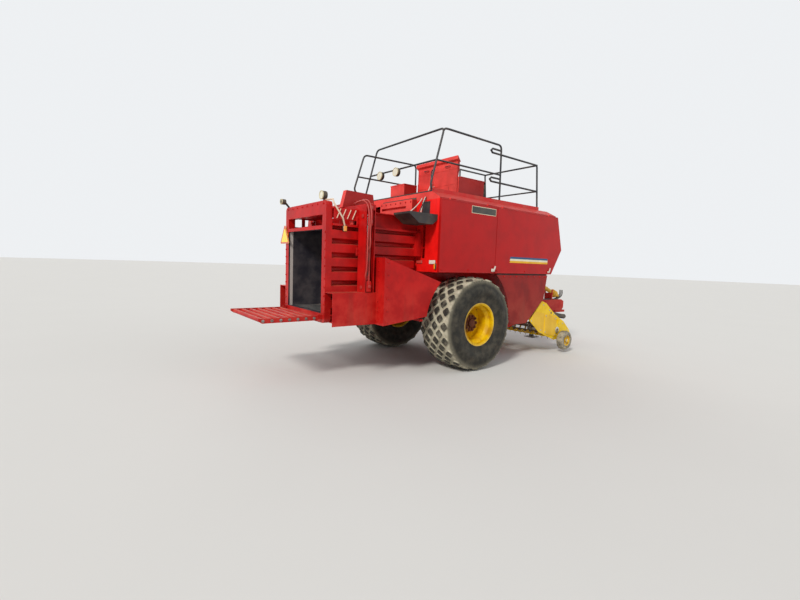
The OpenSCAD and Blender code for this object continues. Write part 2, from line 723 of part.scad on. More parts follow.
// Side plates, cross tube and arms of the pickup
module pickup_frame() color("gold") {
    both_sides() {
        difference() {
            side_plate([[2140, 1110], [2300, 1060], [2650, 810], [3000, 640], [3230, 450], [3320, 300],
                [3250, 262], [2640, 270], [2100, 470], [1750, 730]], [pickup_y, pickup_y + 12]);
            cross_bar(guard_x, [pickup_y - 1, pickup_y + 20], guard_z, 20 + gap);
            cross_bar(reel_x, [pickup_y - 1, pickup_y + 20], reel_z, 30 + gap);
        }
        difference() {
            hull() {
                cross_bar(pickup_x, [665, 695], pickup_z, 55);
                cross_bar(pickup_tube[0], [665, 695], pickup_tube[1], 55);
            }
            cross_bar(pickup_x, [664, 696], pickup_z, pickup_pin_r + gap);
        }
        cross_bar(gauge_x, [pickup_y + 11, gauge_y + gauge_w / 2 + 10], gauge_z, 15);
        cross_bar(gauge_x, [pickup_y + 11, gauge_y - gauge_w / 2 - 12], gauge_z, 40);
    }
    cross_bar(pickup_tube[0], [-pickup_y - 1, pickup_y + 1], pickup_tube[1], 60);
}

// Cross tube of the pickup, and the tines' places along the reel
pickup_tube = [2300, 730];
tine_end = pickup_y - 20 - 70;
tine_pitch = 2 * tine_end / (reel_tines - 1);
function tine_y(j) = -tine_end + j * tine_pitch;

// Reel with its tines
module pickup_reel() color("dimgray") translate([reel_x, 0, reel_z]) {
    y = pickup_y - 20;
    cross_bar(0, [-pickup_y - 10, pickup_y + 10], 0, 30);
    for (i = [-2:2])
        cross_bar(0, [i * y / 2.02 - 8, i * y / 2.02 + 8], 0, reel_r - 80);
    for (i = [0:reel_bars - 1])
        rotate([0, 360 * i / reel_bars, 0]) {
            cross_bar(reel_r - 110, [-y, y], 0, 16);
            for (j = [0:reel_tines - 1])
                translate([reel_r - 110, tine_y(j), 0])
                    rotate([0, 90, 0]) cylinder(r = 5, h = 110, $fn = 6);
        }
}

// Rods and roller that hold the crop down
module windguard() color("dimgray") {
    roller = [3080, 740];
    y = pickup_y - 30;
    both_sides() {
        hull() {
            cross_bar(guard_x, [y, y + 20], guard_z, 35);
            cross_bar(roller[0], [y, y + 20], roller[1], 35);
        }
        cross_bar(guard_x, [y + 19, pickup_y + 15], guard_z, 20);
    }
    cross_bar(roller[0], [-y - 1, y + 1], roller[1], 50);
    cross_bar(guard_x, [-y - 1, y + 1], guard_z, 25);
    for (i = [-8:8])
        bar([guard_x, i * 130, guard_z - 15], [roller[0], i * 130, roller[1] + 30], 8);
}

// Gauge wheel about the y axis
module gauge_wheel() color("dimgray") rotate([90, 0, 0]) difference() {
    rotate_extrude() {
        w = gauge_w / 2;
        polygon(concat([[110, w - 10]], arc([gauge_r - 42, w - 40], 40, 110, 20, 4),
            [[gauge_r, w - 45]], [[gauge_r, 45 - w]], arc([gauge_r - 42, 40 - w], 40, -20, -110, 4),
            [[110, 10 - w]]));
        polygon([[0, 12], [60, 12], [111, 30], [111, -30], [60, -12], [0, -12]]);
        polygon([[0, 50], [35, 50], [35, -50], [0, -50]]);
    }
    translate([0, 0, -60]) cylinder(r = 15 + gap, h = 120);
}

// Bale chute with its rollers, lowered
module bale_chute() color(red) {
    x0 = chute_pivot_x;
    z = chute_z;
    x1 = x0 - chute_len;
    both_sides() {
        side_plate([[x0 + 18, z + 22], [x0 + 22, z - 20], [x0 - 40, z - 45], [x1 + 50, z - 45],
            [x1, z - 10], [x1, z + 22]], [619, 635]);
        cross_bar(x0, [618, 656], z, 15);
    }
    for (i = [0:roller_count - 1])
        cross_bar(x0 - 80 - i * (chute_len - 140) / (roller_count - 1), [-620, 620], z - 12, roller_r);
}

module draw_right_from_left() mirror([0, 1, 0]) children();

from_axle() main_frame();
from_axle() axle();
from_axle() drawbar();
from_axle() jack_stand();
from_axle() draw_right_from_left() chamber_side();  // chamber_side_right
from_axle() chamber_side();  // chamber_side_left
from_axle() chamber_floor();
from_axle() chamber_roof();
from_axle() gearbox();
from_axle() feed_duct();
from_axle() rear_portal();
from_axle() density_frame();
from_axle() density_cylinders();
from_axle() front_shell();
from_axle() platform_deck();
from_axle() handrail();
from_axle() knotter_hood();
from_axle() top_boxes();
from_axle() roof_sheet();
from_axle() draw_right_from_left() twine_box();  // twine_box_right
from_axle() twine_box();  // twine_box_left
from_axle() draw_right_from_left() shield();  // shield_right
from_axle() shield();  // shield_left
from_axle() draw_right_from_left() skirt();  // skirt_right
from_axle() skirt();  // skirt_left
from_axle() ladder();
from_axle() lamps();
from_axle() slow_sign();
from_axle() pto_shaft();
from_axle() flywheel();
from_axle() draw_right_from_left() door_rear();  // door_rear_right
from_axle() draw_right_from_left() door_front();  // door_front_right
from_axle() door_rear();  // door_rear_left
from_axle() door_front();  // door_front_left
from_axle() at_wheel(-1) tyre();  // tyre_right
from_axle() at_wheel(-1) draw_right_from_left() rim();  // rim_right
from_axle() at_wheel(1) tyre();  // tyre_left
from_axle() at_wheel(1) rim();  // rim_left
from_axle() pickup_frame();
from_axle() pickup_reel();
from_axle() windguard();
from_axle() translate([gauge_x, -gauge_y, gauge_z]) gauge_wheel();  // gauge_wheel_right
from_axle() translate([gauge_x, gauge_y, gauge_z]) gauge_wheel();  // gauge_wheel_left
from_axle() bale_chute();
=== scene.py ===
"""Looks of a large square baler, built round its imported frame."""

import math
import bmesh
import bpy
from mathutils import Matrix, Vector


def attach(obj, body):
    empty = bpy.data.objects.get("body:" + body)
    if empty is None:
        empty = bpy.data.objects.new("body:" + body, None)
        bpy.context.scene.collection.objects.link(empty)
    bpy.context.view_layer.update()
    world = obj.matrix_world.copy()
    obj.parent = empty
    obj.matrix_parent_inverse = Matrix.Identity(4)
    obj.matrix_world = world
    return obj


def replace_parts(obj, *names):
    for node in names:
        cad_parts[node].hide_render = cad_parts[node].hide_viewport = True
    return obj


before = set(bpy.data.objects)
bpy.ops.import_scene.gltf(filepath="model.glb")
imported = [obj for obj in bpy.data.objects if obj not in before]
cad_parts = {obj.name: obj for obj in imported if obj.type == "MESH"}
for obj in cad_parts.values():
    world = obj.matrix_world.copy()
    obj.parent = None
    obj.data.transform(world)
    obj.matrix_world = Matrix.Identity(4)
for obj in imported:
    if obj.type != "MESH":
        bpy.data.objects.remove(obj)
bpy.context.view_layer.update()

bl_info = {
    "name": "Square Baler",
    "version": (1, 0, 0),
    "blender": (4, 5, 0),
    "location": "View3D > Sidebar > Baler",
    "description": "Builds the paint, the tyres and the small parts of a large square baler",
    "category": "Add Mesh",
}

# Sides of the machine: the sign of y and the word in names
SIDES = ((-1, "right"), (1, "left"))

# Place of the axle along x in the row frame
AXLE_X = -0.75

# Middles of a main wheel and of a pickup's gauge wheel, from the axle
WHEEL_Y = 1.1075
WHEEL_Z = 0.795
GAUGE_X = 2.850
GAUGE_Y = 1.305
GAUGE_Z = 0.262

# Top of the deck, height of the flywheel's shaft, and the reel's axis
DECK_Z = 2.960
SHAFT_Z = 1.660
REEL_X = 2.750
REEL_Z = 0.470

# Crown of the main tyres: radius in the middle, fall towards the shoulder, half width, power of the fall
CROWN_R = 0.7945
CROWN_DROP = 0.028
CROWN_HALF = 0.3255
CROWN_POWER = 2.6


def at(x, y, z):
    """A place measured from the axle, as a vector in the row frame."""
    return Vector((x + AXLE_X, y, z))


def wheel_middle(side):
    """Middle of the main wheel on one side."""
    return at(0, side * WHEEL_Y, WHEEL_Z)


def gauge_middle(side):
    """Middle of the pickup's gauge wheel on one side."""
    return at(GAUGE_X, side * GAUGE_Y, GAUGE_Z)


def srgb(red, green, blue):
    """Linear colour from the 0 to 255 values of a screen colour."""
    values = []
    for channel in (red, green, blue):
        c = channel / 255
        values.append(c / 12.92 if c <= 0.04045 else ((c + 0.055) / 1.055) ** 2.4)
    return tuple(values)


DUST = srgb(158, 136, 108)
RUST = srgb(104, 52, 28)
PRIMER = srgb(92, 70, 62)
PALE = srgb(222, 196, 172)


class Mask:
    """A value that varies over a surface and takes part in sums like a number."""

    def __init__(self, finish, socket):
        self.finish = finish
        self.socket = socket

    def _maths(self, operation, *values):
        node = self.finish.node("ShaderNodeMath", {"operation": operation}, dict(enumerate(values)))
        return Mask(self.finish, node.outputs[0])

    def __add__(self, other):
        return self._maths("ADD", self, other)

    __radd__ = __add__

    def __sub__(self, other):
        return self._maths("SUBTRACT", self, other)

    def __rsub__(self, other):
        return self._maths("SUBTRACT", other, self)

    def __mul__(self, other):
        return self._maths("MULTIPLY", self, other)

    __rmul__ = __mul__

    def __abs__(self):
        return self._maths("ABSOLUTE", self)

    def power(self, exponent):
        return self._maths("POWER", self, exponent)

    def larger(self, other):
        return self._maths("MAXIMUM", self, other)

    def between(self, low, high):
        """Rises smoothly from 0 at low to 1 at high; low may be the larger."""
        node = self.finish.node(
            "ShaderNodeMapRange",
            {"interpolation_type": "SMOOTHSTEP", "clamp": True},
            {"Value": self, "From Min": low, "From Max": high},
        )
        return Mask(self.finish, node.outputs["Result"])


def opaque(colour):
    """Colour with full cover; one that varies stays as it is."""
    return colour if isinstance(colour, bpy.types.NodeSocket) else (*colour[:3], 1.0)


class Finish:
    """A procedural material on Object coordinates."""

    def __init__(self, name):
        self.material = bpy.data.materials.new(name)
        self.material.use_nodes = True
        self.tree = self.material.node_tree
        self.tree.nodes.clear()
        self.output = self.tree.nodes.new("ShaderNodeOutputMaterial")
        self.coordinates = self.tree.nodes.new("ShaderNodeTexCoord").outputs["Object"]

    def node(self, kind, settings=None, sockets=None):
        """Adds a node, sets it up, then gives its sockets their values or links."""
        node = self.tree.nodes.new(kind)
        for key, value in (settings or {}).items():
            setattr(node, key, value)
        for key, value in (sockets or {}).items():
            if isinstance(value, Mask):
                value = value.socket
            if isinstance(value, bpy.types.NodeSocket):
                self.tree.links.new(value, node.inputs[key])
            else:
                node.inputs[key].default_value = value
        return node

    def stretched(self, scale, centre=(0, 0, 0)):
        """Object coordinates from a centre, scaled."""
        node = self.node(
            "ShaderNodeMapping",
            {"vector_type": "POINT"},
            {"Vector": self.coordinates, "Scale": scale, "Location": [-c * s for c, s in zip(centre, scale)]},
        )
        return node.outputs[0]

    def noise(self, scale, detail=4.0, roughness=0.55, vector=None):
        node = self.node(
            "ShaderNodeTexNoise",
            None,
            {"Vector": vector or self.coordinates, "Scale": scale, "Detail": detail, "Roughness": roughness},
        )
        return Mask(self, node.outputs["Fac"])

    def axes(self, vector=None):
        node = self.node("ShaderNodeSeparateXYZ", None, {0: vector or self.coordinates})
        return [Mask(self, node.outputs[i]) for i in range(3)]

    def facing(self):
        """Parts of the surface's direction along X, Y and Z."""
        return self.axes(self.node("ShaderNodeNewGeometry").outputs["Normal"])

    def upward(self):
        return self.facing()[2]

    def flank(self):
        """How much the surface faces one side of the machine."""
        return abs(self.facing()[1])

    def round_axle(self, centre):
        """Distance from a wheel's axis, and places along x and y, all from its middle."""
        x, y, z = self.axes(self.stretched((1, 1, 1), centre))
        return (x * x + z * z).power(0.5), x, y

    def mix(self, mask, first, second):
        """Colour that is first where the mask is 0 and second where it is 1.

        Sockets 6 and 7 of the node are its two colours.
        """
        node = self.node(
            "ShaderNodeMix",
            {"data_type": "RGBA", "clamp_factor": True},
            {0: mask, 6: opaque(first), 7: opaque(second)},
        )
        return node.outputs[2]

    def bump(self, height, depth, strength):
        node = self.node("ShaderNodeBump", None, {"Height": height, "Distance": depth, "Strength": strength})
        return node.outputs[0]

    def surface(self, **sockets):
        """Closes the material with its shader, whose sockets have short names here."""
        names = {
            "colour": "Base Color",
            "roughness": "Roughness",
            "metallic": "Metallic",
            "normal": "Normal",
            "coat": "Coat Weight",
            "coat_roughness": "Coat Roughness",
            "specular": "Specular IOR Level",
            "glow": "Emission Color",
            "glow_strength": "Emission Strength",
        }
        values = {}
        for key, value in sockets.items():
            values[names[key]] = opaque(value) if key in ("colour", "glow") else value
        shader = self.node("ShaderNodeBsdfPrincipled", None, values)
        self.tree.links.new(shader.outputs[0], self.output.inputs["Surface"])
        return self.material


def chamber_inside(f, half):
    """The chamber's inner faces: within its half width, under its roof and ahead of its rear face."""
    x, y, z = f.axes()
    roof_z = 2.282
    rear_x = -3.277
    margin = 0.001
    across = abs(y).between(half + margin, half)
    return across * z.between(roof_z + margin, roof_z - margin) * x.between(rear_x - margin, rear_x + margin)


def painted(name, tones, dust, wear, gloss=0.32, inner=0.0, flank_shade=0.0, pale_from=0.0, streaks=1.0):
    """Sheet steel paint: sun-faded patches, run marks, dust on low and level parts, chips with rust.

    The tones are the fresh paint, the faded one and the one deep with grime. Inside the half width
    inner the paint is gone and the bare steel is painted dark, as the shade inside the chamber.
    flank_shade darkens the sides that face across towards the deep tone, which is painted shade;
    pale_from is the half width beyond which the paint is pale, and streaks sets how strongly the
    grime runs down.
    """
    fresh, faded, deep = tones
    f = Finish(name)
    y, z = f.axes()[1:]
    patches = f.noise(0.55, 3.0).between(0.40, 0.66)
    cloud = f.noise(3.2, 6.0, 0.6)
    runs = f.noise(1.0, 5.0, 0.6, f.stretched((7.0, 7.0, 0.55))).between(0.48, 0.72)
    fine = f.noise(46.0, 4.0, 0.6)
    level = f.upward().between(0.45, 0.95)
    low = z.between(1.75, 0.35)
    body = f.mix(patches * 0.55, fresh, faded)
    body = f.mix(cloud.between(0.62, 0.32) * (0.25 + 0.25 * streaks), body, deep)
    body = f.mix(runs * (0.30 * streaks), body, deep)
    film = (low * cloud.between(0.38, 0.62) * 0.55 + level * (0.35 + cloud * 0.5)) * dust
    film = film + runs * low * 0.22 * dust
    body = f.mix(film, body, DUST)
    speck = f.noise(21.0, 6.0, 0.62).between(0.668, 0.70)
    chip = speck * f.noise(1.7, 3.0).between(0.50, 0.62) * wear
    body = f.mix(chip, body, RUST)
    if pale_from:
        body = f.mix(abs(y).between(pale_from, pale_from + 0.0005), body, PALE)
    # Painted shade: the sides that face across are darkened towards the deep tone
    if flank_shade:
        body = f.mix(f.flank().between(0.30, 0.60) * flank_shade, body, deep)
    # Inside the chamber: bare steel where the paint is worn off, painted dark as the shade in there
    if inner:
        steel = f.mix(cloud.between(0.35, 0.70), srgb(50, 48, 56), srgb(90, 84, 86))
        body = f.mix(chamber_inside(f, inner), body, steel)
    dents = f.noise(1.6, 2.0) + f.noise(7.0, 3.0) * 0.12
    return f.surface(
        colour=body,
        roughness=gloss + film * 0.5 + patches * 0.10 + chip * 0.3 + fine * 0.06,
        normal=f.bump(dents + fine * 0.02, 0.010, 0.55),
        specular=0.2,
        coat=0.04,
        coat_roughness=0.25,
    )


def bare_steel(name, colour, rust, rough, metallic=1.0):
    """Worn steel with rust that spreads from pits."""
    f = Finish(name)
    cloud = f.noise(5.0, 6.0, 0.6)
    pits = f.noise(34.0, 5.0, 0.6)
    spread = (cloud * 0.7 + pits * 0.3).between(0.62 - 0.25 * rust, 0.70 - 0.2 * rust)
    body = f.mix(spread * rust, colour, RUST)
    return f.surface(
        colour=body,
        metallic=metallic * (1.0 - spread * rust) if metallic else 0.0,
        roughness=rough + spread * 0.4 * rust + pits * 0.12,
        normal=f.bump(pits + cloud * 0.4, 0.003, 0.5),
    )


def dark_paint(name, colour, dust, rough):
    """Dark, grey or cream paint with dust and scuffs."""
    f = Finish(name)
    cloud = f.noise(4.5, 6.0, 0.6)
    fine = f.noise(60.0, 4.0, 0.6)
    level = f.upward().between(0.3, 0.95)
    film = (cloud.between(0.42, 0.70) * 0.35 + level * 0.40 * cloud) * dust
    scuff = f.noise(26.0, 6.0, 0.65).between(0.66, 0.70) * 0.6
    body = f.mix(film, colour, DUST)
    body = f.mix(scuff, body, PRIMER)
    return f.surface(
        colour=body,
        roughness=rough + film * 0.5 + fine * 0.08,
        normal=f.bump(fine + cloud * 0.5, 0.002, 0.5),
    )


def deck_sheet(name, colour, edge):
    """Dark deck, whose kick boards have the roof's paint on their outer faces."""
    f = Finish(name)
    z = f.axes()[2]
    cloud = f.noise(4.5, 6.0, 0.6)
    fine = f.noise(60.0, 4.0, 0.6)
    film = cloud.between(0.42, 0.70) * 0.20 + f.upward().between(0.3, 0.95) * cloud * 0.24
    floor_z = 2.90
    outer = f.flank().between(0.4, 0.6) * z.between(floor_z, floor_z + 0.01)
    body = f.mix(film, f.mix(outer, colour, edge), DUST)
    return f.surface(
        colour=body,
        roughness=0.55 + film * 0.4 + fine * 0.08,
        normal=f.bump(fine + cloud * 0.5, 0.002, 0.5),
    )


def rubber(name, colour, dust, rough=0.62):
    """Rubber, plastic and plain painted tube with a film of dust."""
    f = Finish(name)
    cloud = f.noise(6.0, 6.0, 0.6)
    grain = f.noise(90.0, 4.0, 0.6)
    film = cloud.between(0.40, 0.72) * dust
    body = f.mix(film, colour, DUST)
    return f.surface(
        colour=body,
        roughness=rough + film * 0.3 + grain * 0.08,
        normal=f.bump(grain + cloud, 0.003, 0.5),
    )


def tyre_rubber(name, centre):
    """Tyre: worn dark lug tops, dry mud in the grooves and on the shoulders, dusty dark sides."""
    f = Finish(name)
    radius, _, y = f.round_axle(centre)
    cloud = f.noise(9.0, 6.0, 0.62)
    patch = f.noise(2.4, 4.0, 0.6)
    grain = f.noise(110.0, 4.0, 0.6)
    over_lugs = CROWN_R - (abs(y) * (1 / CROWN_HALF)).power(CROWN_POWER) * CROWN_DROP
    groove = (over_lugs - radius).between(0.0025, 0.0085) * abs(y).between(0.335, 0.300)
    groove = groove * radius.between(0.69, 0.72)
    rubber_tone = f.mix(cloud.between(0.35, 0.70), srgb(36, 35, 31), srgb(66, 62, 53))
    mud = f.mix(cloud.between(0.30, 0.72), srgb(144, 138, 119), srgb(198, 192, 170))
    smears = (cloud * 0.5 + grain * 0.5).between(0.46, 0.66) * 0.35
    cover = groove * (0.75 + 0.4 * patch) + radius.between(0.72, 0.74) * (1.0 - groove) * smears
    body = f.mix(cover, rubber_tone, mud)
    dried = 0.35 + 0.4 * patch.between(0.30, 0.60)
    shoulder = radius.between(0.66, 0.745) * abs(y).between(0.28, 0.33) * dried
    body = f.mix(shoulder, body, srgb(118, 112, 96))
    wipe = radius.between(0.72, 0.60) * f.noise(3.5, 5.0).between(0.50, 0.78) * 0.12
    body = f.mix(wipe, body, DUST)
    return f.surface(
        colour=body,
        roughness=0.66 + cover * 0.25 + grain * 0.06,
        normal=f.bump(cloud + grain * 0.35, 0.004, 0.6),
        specular=0.3,
    )


def rim_paint(name, centre):
    """Yellow wheel paint with a rusty, oily patch round the hub."""
    f = Finish(name)
    radius, x, _ = f.round_axle(centre)
    cloud = f.noise(7.0, 6.0, 0.6)
    fine = f.noise(38.0, 5.0, 0.6)
    body = f.mix(cloud.between(0.35, 0.70), srgb(226, 184, 4), srgb(206, 152, 6))
    hub = (radius + cloud * 0.20).between(0.30, 0.22) * (cloud * 0.6 + fine * 0.5).between(0.42, 0.56)
    leak = (radius + x * 0.9 + cloud * 0.16).between(0.20, 0.07)
    body = f.mix(hub.larger(leak), body, srgb(92, 40, 22))
    grime = (radius - 0.25).between(0.0, 0.11) * cloud.between(0.42, 0.68) * 0.45
    body = f.mix(grime, body, srgb(128, 94, 30))
    rim_edge = radius.between(0.352, 0.362) * 0.5 * fine.between(0.3, 0.6)
    body = f.mix(rim_edge, body, srgb(226, 200, 140))
    return f.surface(
        colour=body,
        roughness=0.38 + hub * 0.4 + grime * 0.3 + fine * 0.06,
        normal=f.bump(cloud + fine * 0.2, 0.004, 0.5),
        specular=0.25,
    )


def gauge_finish(name, centre):
    """Small wheel: dusty grey tyre on a yellow rim, in one surface."""
    f = Finish(name)
    radius = f.round_axle(centre)[0]
    cloud = f.noise(14.0, 5.0, 0.6)
    tyre = f.mix(cloud.between(0.3, 0.7), srgb(84, 80, 72), srgb(168, 158, 136))
    rim = f.mix(cloud.between(0.4, 0.7), srgb(224, 184, 36), srgb(190, 148, 40))
    is_rim = radius.between(0.113, 0.109)
    return f.surface(
        colour=f.mix(is_rim, tyre, rim),
        roughness=0.75 - is_rim * 0.35,
        normal=f.bump(cloud, 0.004, 0.6),
    )


def cylinder_paint(name, colour):
    """Cylinder with its painted barrel below and its bright rod above."""
    f = Finish(name)
    z = f.axes()[2]
    cloud = f.noise(12.0, 5.0, 0.6)
    barrel_top = 2.000
    rod = z.between(barrel_top - 0.002, barrel_top + 0.002)
    body = f.mix(rod, f.mix(cloud.between(0.35, 0.70), colour, PRIMER), (0.78, 0.78, 0.77))
    return f.surface(
        colour=body,
        metallic=rod,
        roughness=0.40 - rod * 0.22 + cloud * 0.08,
        normal=f.bump(cloud, 0.002, 0.4),
    )


def lens(name, colour, glow):
    """Moulded lens with fine prisms and a faint painted glow in its own colour."""
    f = Finish(name)
    ribs = f.node(
        "ShaderNodeTexWave",
        {"wave_type": "BANDS", "bands_direction": "Z"},
        {"Vector": f.coordinates, "Scale": 60.0, "Distortion": 0.0},
    )
    cloud = f.noise(40.0, 3.0)
    return f.surface(
        colour=f.mix(cloud.between(0.45, 0.8) * 0.4, colour, DUST),
        roughness=0.16 + cloud * 0.15,
        normal=f.bump(ribs.outputs["Fac"], 0.001, 0.6),
        coat=0.6,
        coat_roughness=0.1,
        # Painted glow: a faint emission in the lens's colour
        glow=colour,
        glow_strength=glow,
    )


# Materials by their short names, filled by make_finishes
FINISHES = {}


def make_finishes(paint):
    """Builds every material once; the main paints take their colours from the panel."""
    red = (tuple(paint.red), tuple(paint.faded_red), tuple(paint.deep_red))
    deep = red[2]
    dust = paint.dust
    yellow = (tuple(paint.yellow), srgb(248, 214, 44), srgb(196, 148, 14))
    door = (srgb(180, 14, 14), srgb(186, 26, 24), deep)
    bright = (srgb(252, 26, 22), srgb(252, 36, 30), red[0])
    bleached = (srgb(242, 64, 58), srgb(246, 100, 91), deep)
    # Skirt tones: the red made darker, which is painted shade for the shade the skirts lie in
    skirt = (srgb(148, 22, 18), srgb(150, 36, 30), srgb(98, 22, 18))
    ochre = (srgb(234, 184, 36), srgb(238, 200, 70), srgb(198, 146, 26))
    guard = (srgb(226, 170, 26), srgb(232, 196, 90), srgb(180, 130, 24))
    FINISHES.update(
        red=painted("red paint", red, dust, 0.6),
        # Chamber paint, whose inside is bare steel painted dark as shade
        red_chamber=painted("chamber paint", red, dust, 0.6, inner=0.607),
        red_door=painted("red door paint", door, dust * 0.3, 0.35, 0.28, streaks=0.25),
        red_bright=painted("bright red paint", bright, dust * 0.15, 0.15, 0.3),
        # Sun-faded red for the hood, the boxes and the shell on the roof, with painted shade on their flanks
        red_top=painted("sun-faded red paint", bleached, dust * 0.5, 0.6, 0.4, flank_shade=0.75, streaks=0.2),
        roof_sheet=painted("roof sheet paint", red, dust, 0.4, pale_from=0.7462),
        red_low=painted("dirty red paint", red, dust * 1.1, 1.0, 0.4),
        # Skirts: darker tones as painted shade, with dust and wear
        red_skirt=painted("skirt paint", skirt, dust * 0.9, 1.0, 0.42),
        yellow=painted("yellow pickup paint", yellow, dust * 0.5, 0.6),
        ochre=painted("ochre panel paint", ochre, dust * 0.6, 0.5),
        guard=painted("yellow guard plastic", guard, dust, 0.0),
        black=dark_paint("black rail paint", srgb(26, 28, 34), 0.35, 0.38),
        dark=dark_paint("dark steel paint", srgb(52, 50, 48), 0.8, 0.5),
        grey=dark_paint("grey step metal", srgb(96, 92, 88), 0.9, 0.5),
        deck=dark_paint("deck plate", srgb(44, 40, 40), 0.6, 0.55),
        deck_sheet=deck_sheet("deck and kick boards", srgb(44, 40, 40), red[0]),
        plate_dark=dark_paint("blank plate", srgb(44, 46, 42), 0.3, 0.35),
        # Worn bare steel, painted pale as the highlight the bare metal catches
        worn=dark_paint("rubbed strip with painted highlight", srgb(206, 196, 190), 0.15, 0.35),
        cream=dark_paint("cream lamp rim", srgb(206, 196, 160), 0.4, 0.4),
        pale=dark_paint("pale latch", srgb(214, 208, 196), 0.3, 0.35),
        cylinder=cylinder_paint("pressure cylinder", red[0]),
        steel=bare_steel("worn steel", (0.46, 0.45, 0.43), 0.45, 0.35),
        tine=bare_steel("tine steel", (0.30, 0.28, 0.26), 0.7, 0.42),
        zinc=bare_steel("zinc bolts", (0.62, 0.60, 0.55), 0.25, 0.34),
        hub=bare_steel("oily hub", srgb(78, 40, 26), 0.9, 0.45, 0.0),
        cast=bare_steel("gearbox casting", (0.16, 0.15, 0.15), 0.5, 0.6, 0.0),
        rubber=rubber("rubber", srgb(34, 33, 32), 0.4),
        pipe=rubber("painted pipe", srgb(178, 46, 42), 0.15, 0.4),
        pale_rod=rubber("pale rod", PALE, 0.2, 0.5),
        hose=rubber("hose rubber", srgb(28, 28, 29), 0.22, 0.5),
        # Lamp glass, reflectors and sign: each has a faint painted glow, though no lamp is lit
        amber=lens("amber lens", srgb(240, 150, 24), 0.05),
        pale_red=lens("red reflector", srgb(214, 70, 60), 0.04),
        white=lens("white reflector", srgb(238, 226, 214), 0.05),
        glass=lens("lamp glass", srgb(226, 222, 202), 0.06),
        sign_yellow=lens("sign face", srgb(255, 222, 0), 0.05),
        sign_red=lens("sign border", srgb(214, 52, 10), 0.02),
    )
    bands = {
        "blue": (srgb(40, 86, 128), srgb(70, 110, 150), srgb(30, 60, 96)),
        "pale": (srgb(232, 226, 196), srgb(236, 232, 214), srgb(190, 180, 150)),
        "gold": (srgb(236, 178, 34), srgb(236, 200, 90), srgb(196, 140, 30)),
    }
    for colour, tones in bands.items():
        FINISHES["band_" + colour] = painted(colour + " band", tones, 0.3, 0.2, 0.3)
    for side, name in SIDES:
        FINISHES["tyre_" + name] = tyre_rubber("tyre rubber " + name, wheel_middle(side))
        FINISHES["rim_" + name] = rim_paint("yellow rim " + name, wheel_middle(side))
        FINISHES["gauge_" + name] = gauge_finish("gauge tyre " + name, gauge_middle(side))


# Finish of each CAD node
NODE_FINISHES = {
    "main_frame": "red_low",
    "axle": "red_low",
    "drawbar": "red_low",
    "jack_stand": "dark",
    "chamber_floor": "steel",
    "chamber_roof": "red_chamber",
    "gearbox": "cast",
    "feed_duct": "red_low",
    "rear_portal": "red_chamber",
    "density_frame": "red",
    "density_cylinders": "cylinder",
    "front_shell": "red_top",
    "platform_deck": "deck_sheet",
    "handrail": "black",
    "knotter_hood": "red_top",
    "top_boxes": "red_top",
    "roof_sheet": "roof_sheet",
    "ladder": "grey",
    "lamps": "rubber",
    "slow_sign": "sign_yellow",
    "pto_shaft": "guard",
    "flywheel": "red_low",
    "pickup_frame": "yellow",
    "pickup_reel": "tine",
    "windguard": "dark",
    "bale_chute": "red_low",
}
for _, side_name in SIDES:
    NODE_FINISHES.update({
        "chamber_side_" + side_name: "red_chamber",
        "twine_box_" + side_name: "red_bright",
        "shield_" + side_name: "red",
        "skirt_" + side_name: "red_skirt",
        "door_rear_" + side_name: "red_door",
        "door_front_" + side_name: "red_door",
        "tyre_" + side_name: "tyre_" + side_name,
        "rim_" + side_name: "rim_" + side_name,
        "gauge_wheel_" + side_name: "gauge_" + side_name,
    })


def add_piece(name, bm, body, finish, smooth=35.0):
    """Turns a bmesh into a piece that rides on a body."""
    bmesh.ops.recalc_face_normals(bm, faces=bm.faces)
    mesh = bpy.data.meshes.new(name)
    bm.to_mesh(mesh)
    bm.free()
    mesh.shade_smooth()
    mesh.set_sharp_from_angle(angle=math.radians(smooth))
    piece = bpy.data.objects.new(name, mesh)
    bpy.context.scene.collection.objects.link(piece)
    mesh.materials.append(FINISHES[finish])
    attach(piece, body)
    return piece


def bevel(bm, edges, offset, segments):
    """Breaks edges, in one flat or a few that round them."""
    bmesh.ops.bevel(bm, geom=edges, offset=offset, offset_type="OFFSET", segments=segments, profile=0.5,
                    affect="EDGES", material=-1, clamp_overlap=True)


def edges_of(verts):
    """Edges that meet the vertices, each once and always in the same order."""
    return list(dict.fromkeys(edge for vert in verts for edge in vert.link_edges))


def box(bm, low, high, edge=0.0):
    """Box between two corners; edge is the width of its broken edges."""
    matrix = Matrix.Translation((low + high) / 2) @ Matrix.Diagonal((*(high - low), 1))
    made = bmesh.ops.create_cube(bm, size=1.0, matrix=matrix)
    if edge:
        bevel(bm, edges_of(made["verts"]), edge, 1)


def side_box(bm, side, x, y, z, edge=0.0):
    """Box on one side between pairs of places from the axle; y is measured outwards."""
    low, high = sorted(side * value for value in y)
    box(bm, at(x[0], low, z[0]), at(x[1], high, z[1]), edge)


def along(axis):
    """Turn that points a shape's own z along an axis."""
    return Vector((0, 0, 1)).rotation_difference(Vector(axis).normalized()).to_matrix().to_4x4()


def disc(bm, place, axis, radius, depth, sides=24, edge=0.0):
    """Cylinder that starts at a place and runs along an axis; edge is the width of its broken rims."""
    matrix = Matrix.Translation(place) @ along(axis) @ Matrix.Translation((0, 0, depth / 2))
    made = bmesh.ops.create_cone(bm, cap_ends=True, cap_tris=False, segments=sides, radius1=radius,
                                 radius2=radius, depth=depth, matrix=matrix)
    if edge:
        rims = [e for e in edges_of(made["verts"]) if any(len(face.verts) > 4 for face in e.link_faces)]
        bevel(bm, rims, edge, 2)


def bolt(bm, place, axis, size, head=0.009):
    """Hexagon head on its washer; size is half the head's width."""
    axis = Vector(axis).normalized()
    disc(bm, place, axis, size * 1.35, 0.003, 16)
    disc(bm, place + axis * 0.002, axis, size, head, 6)


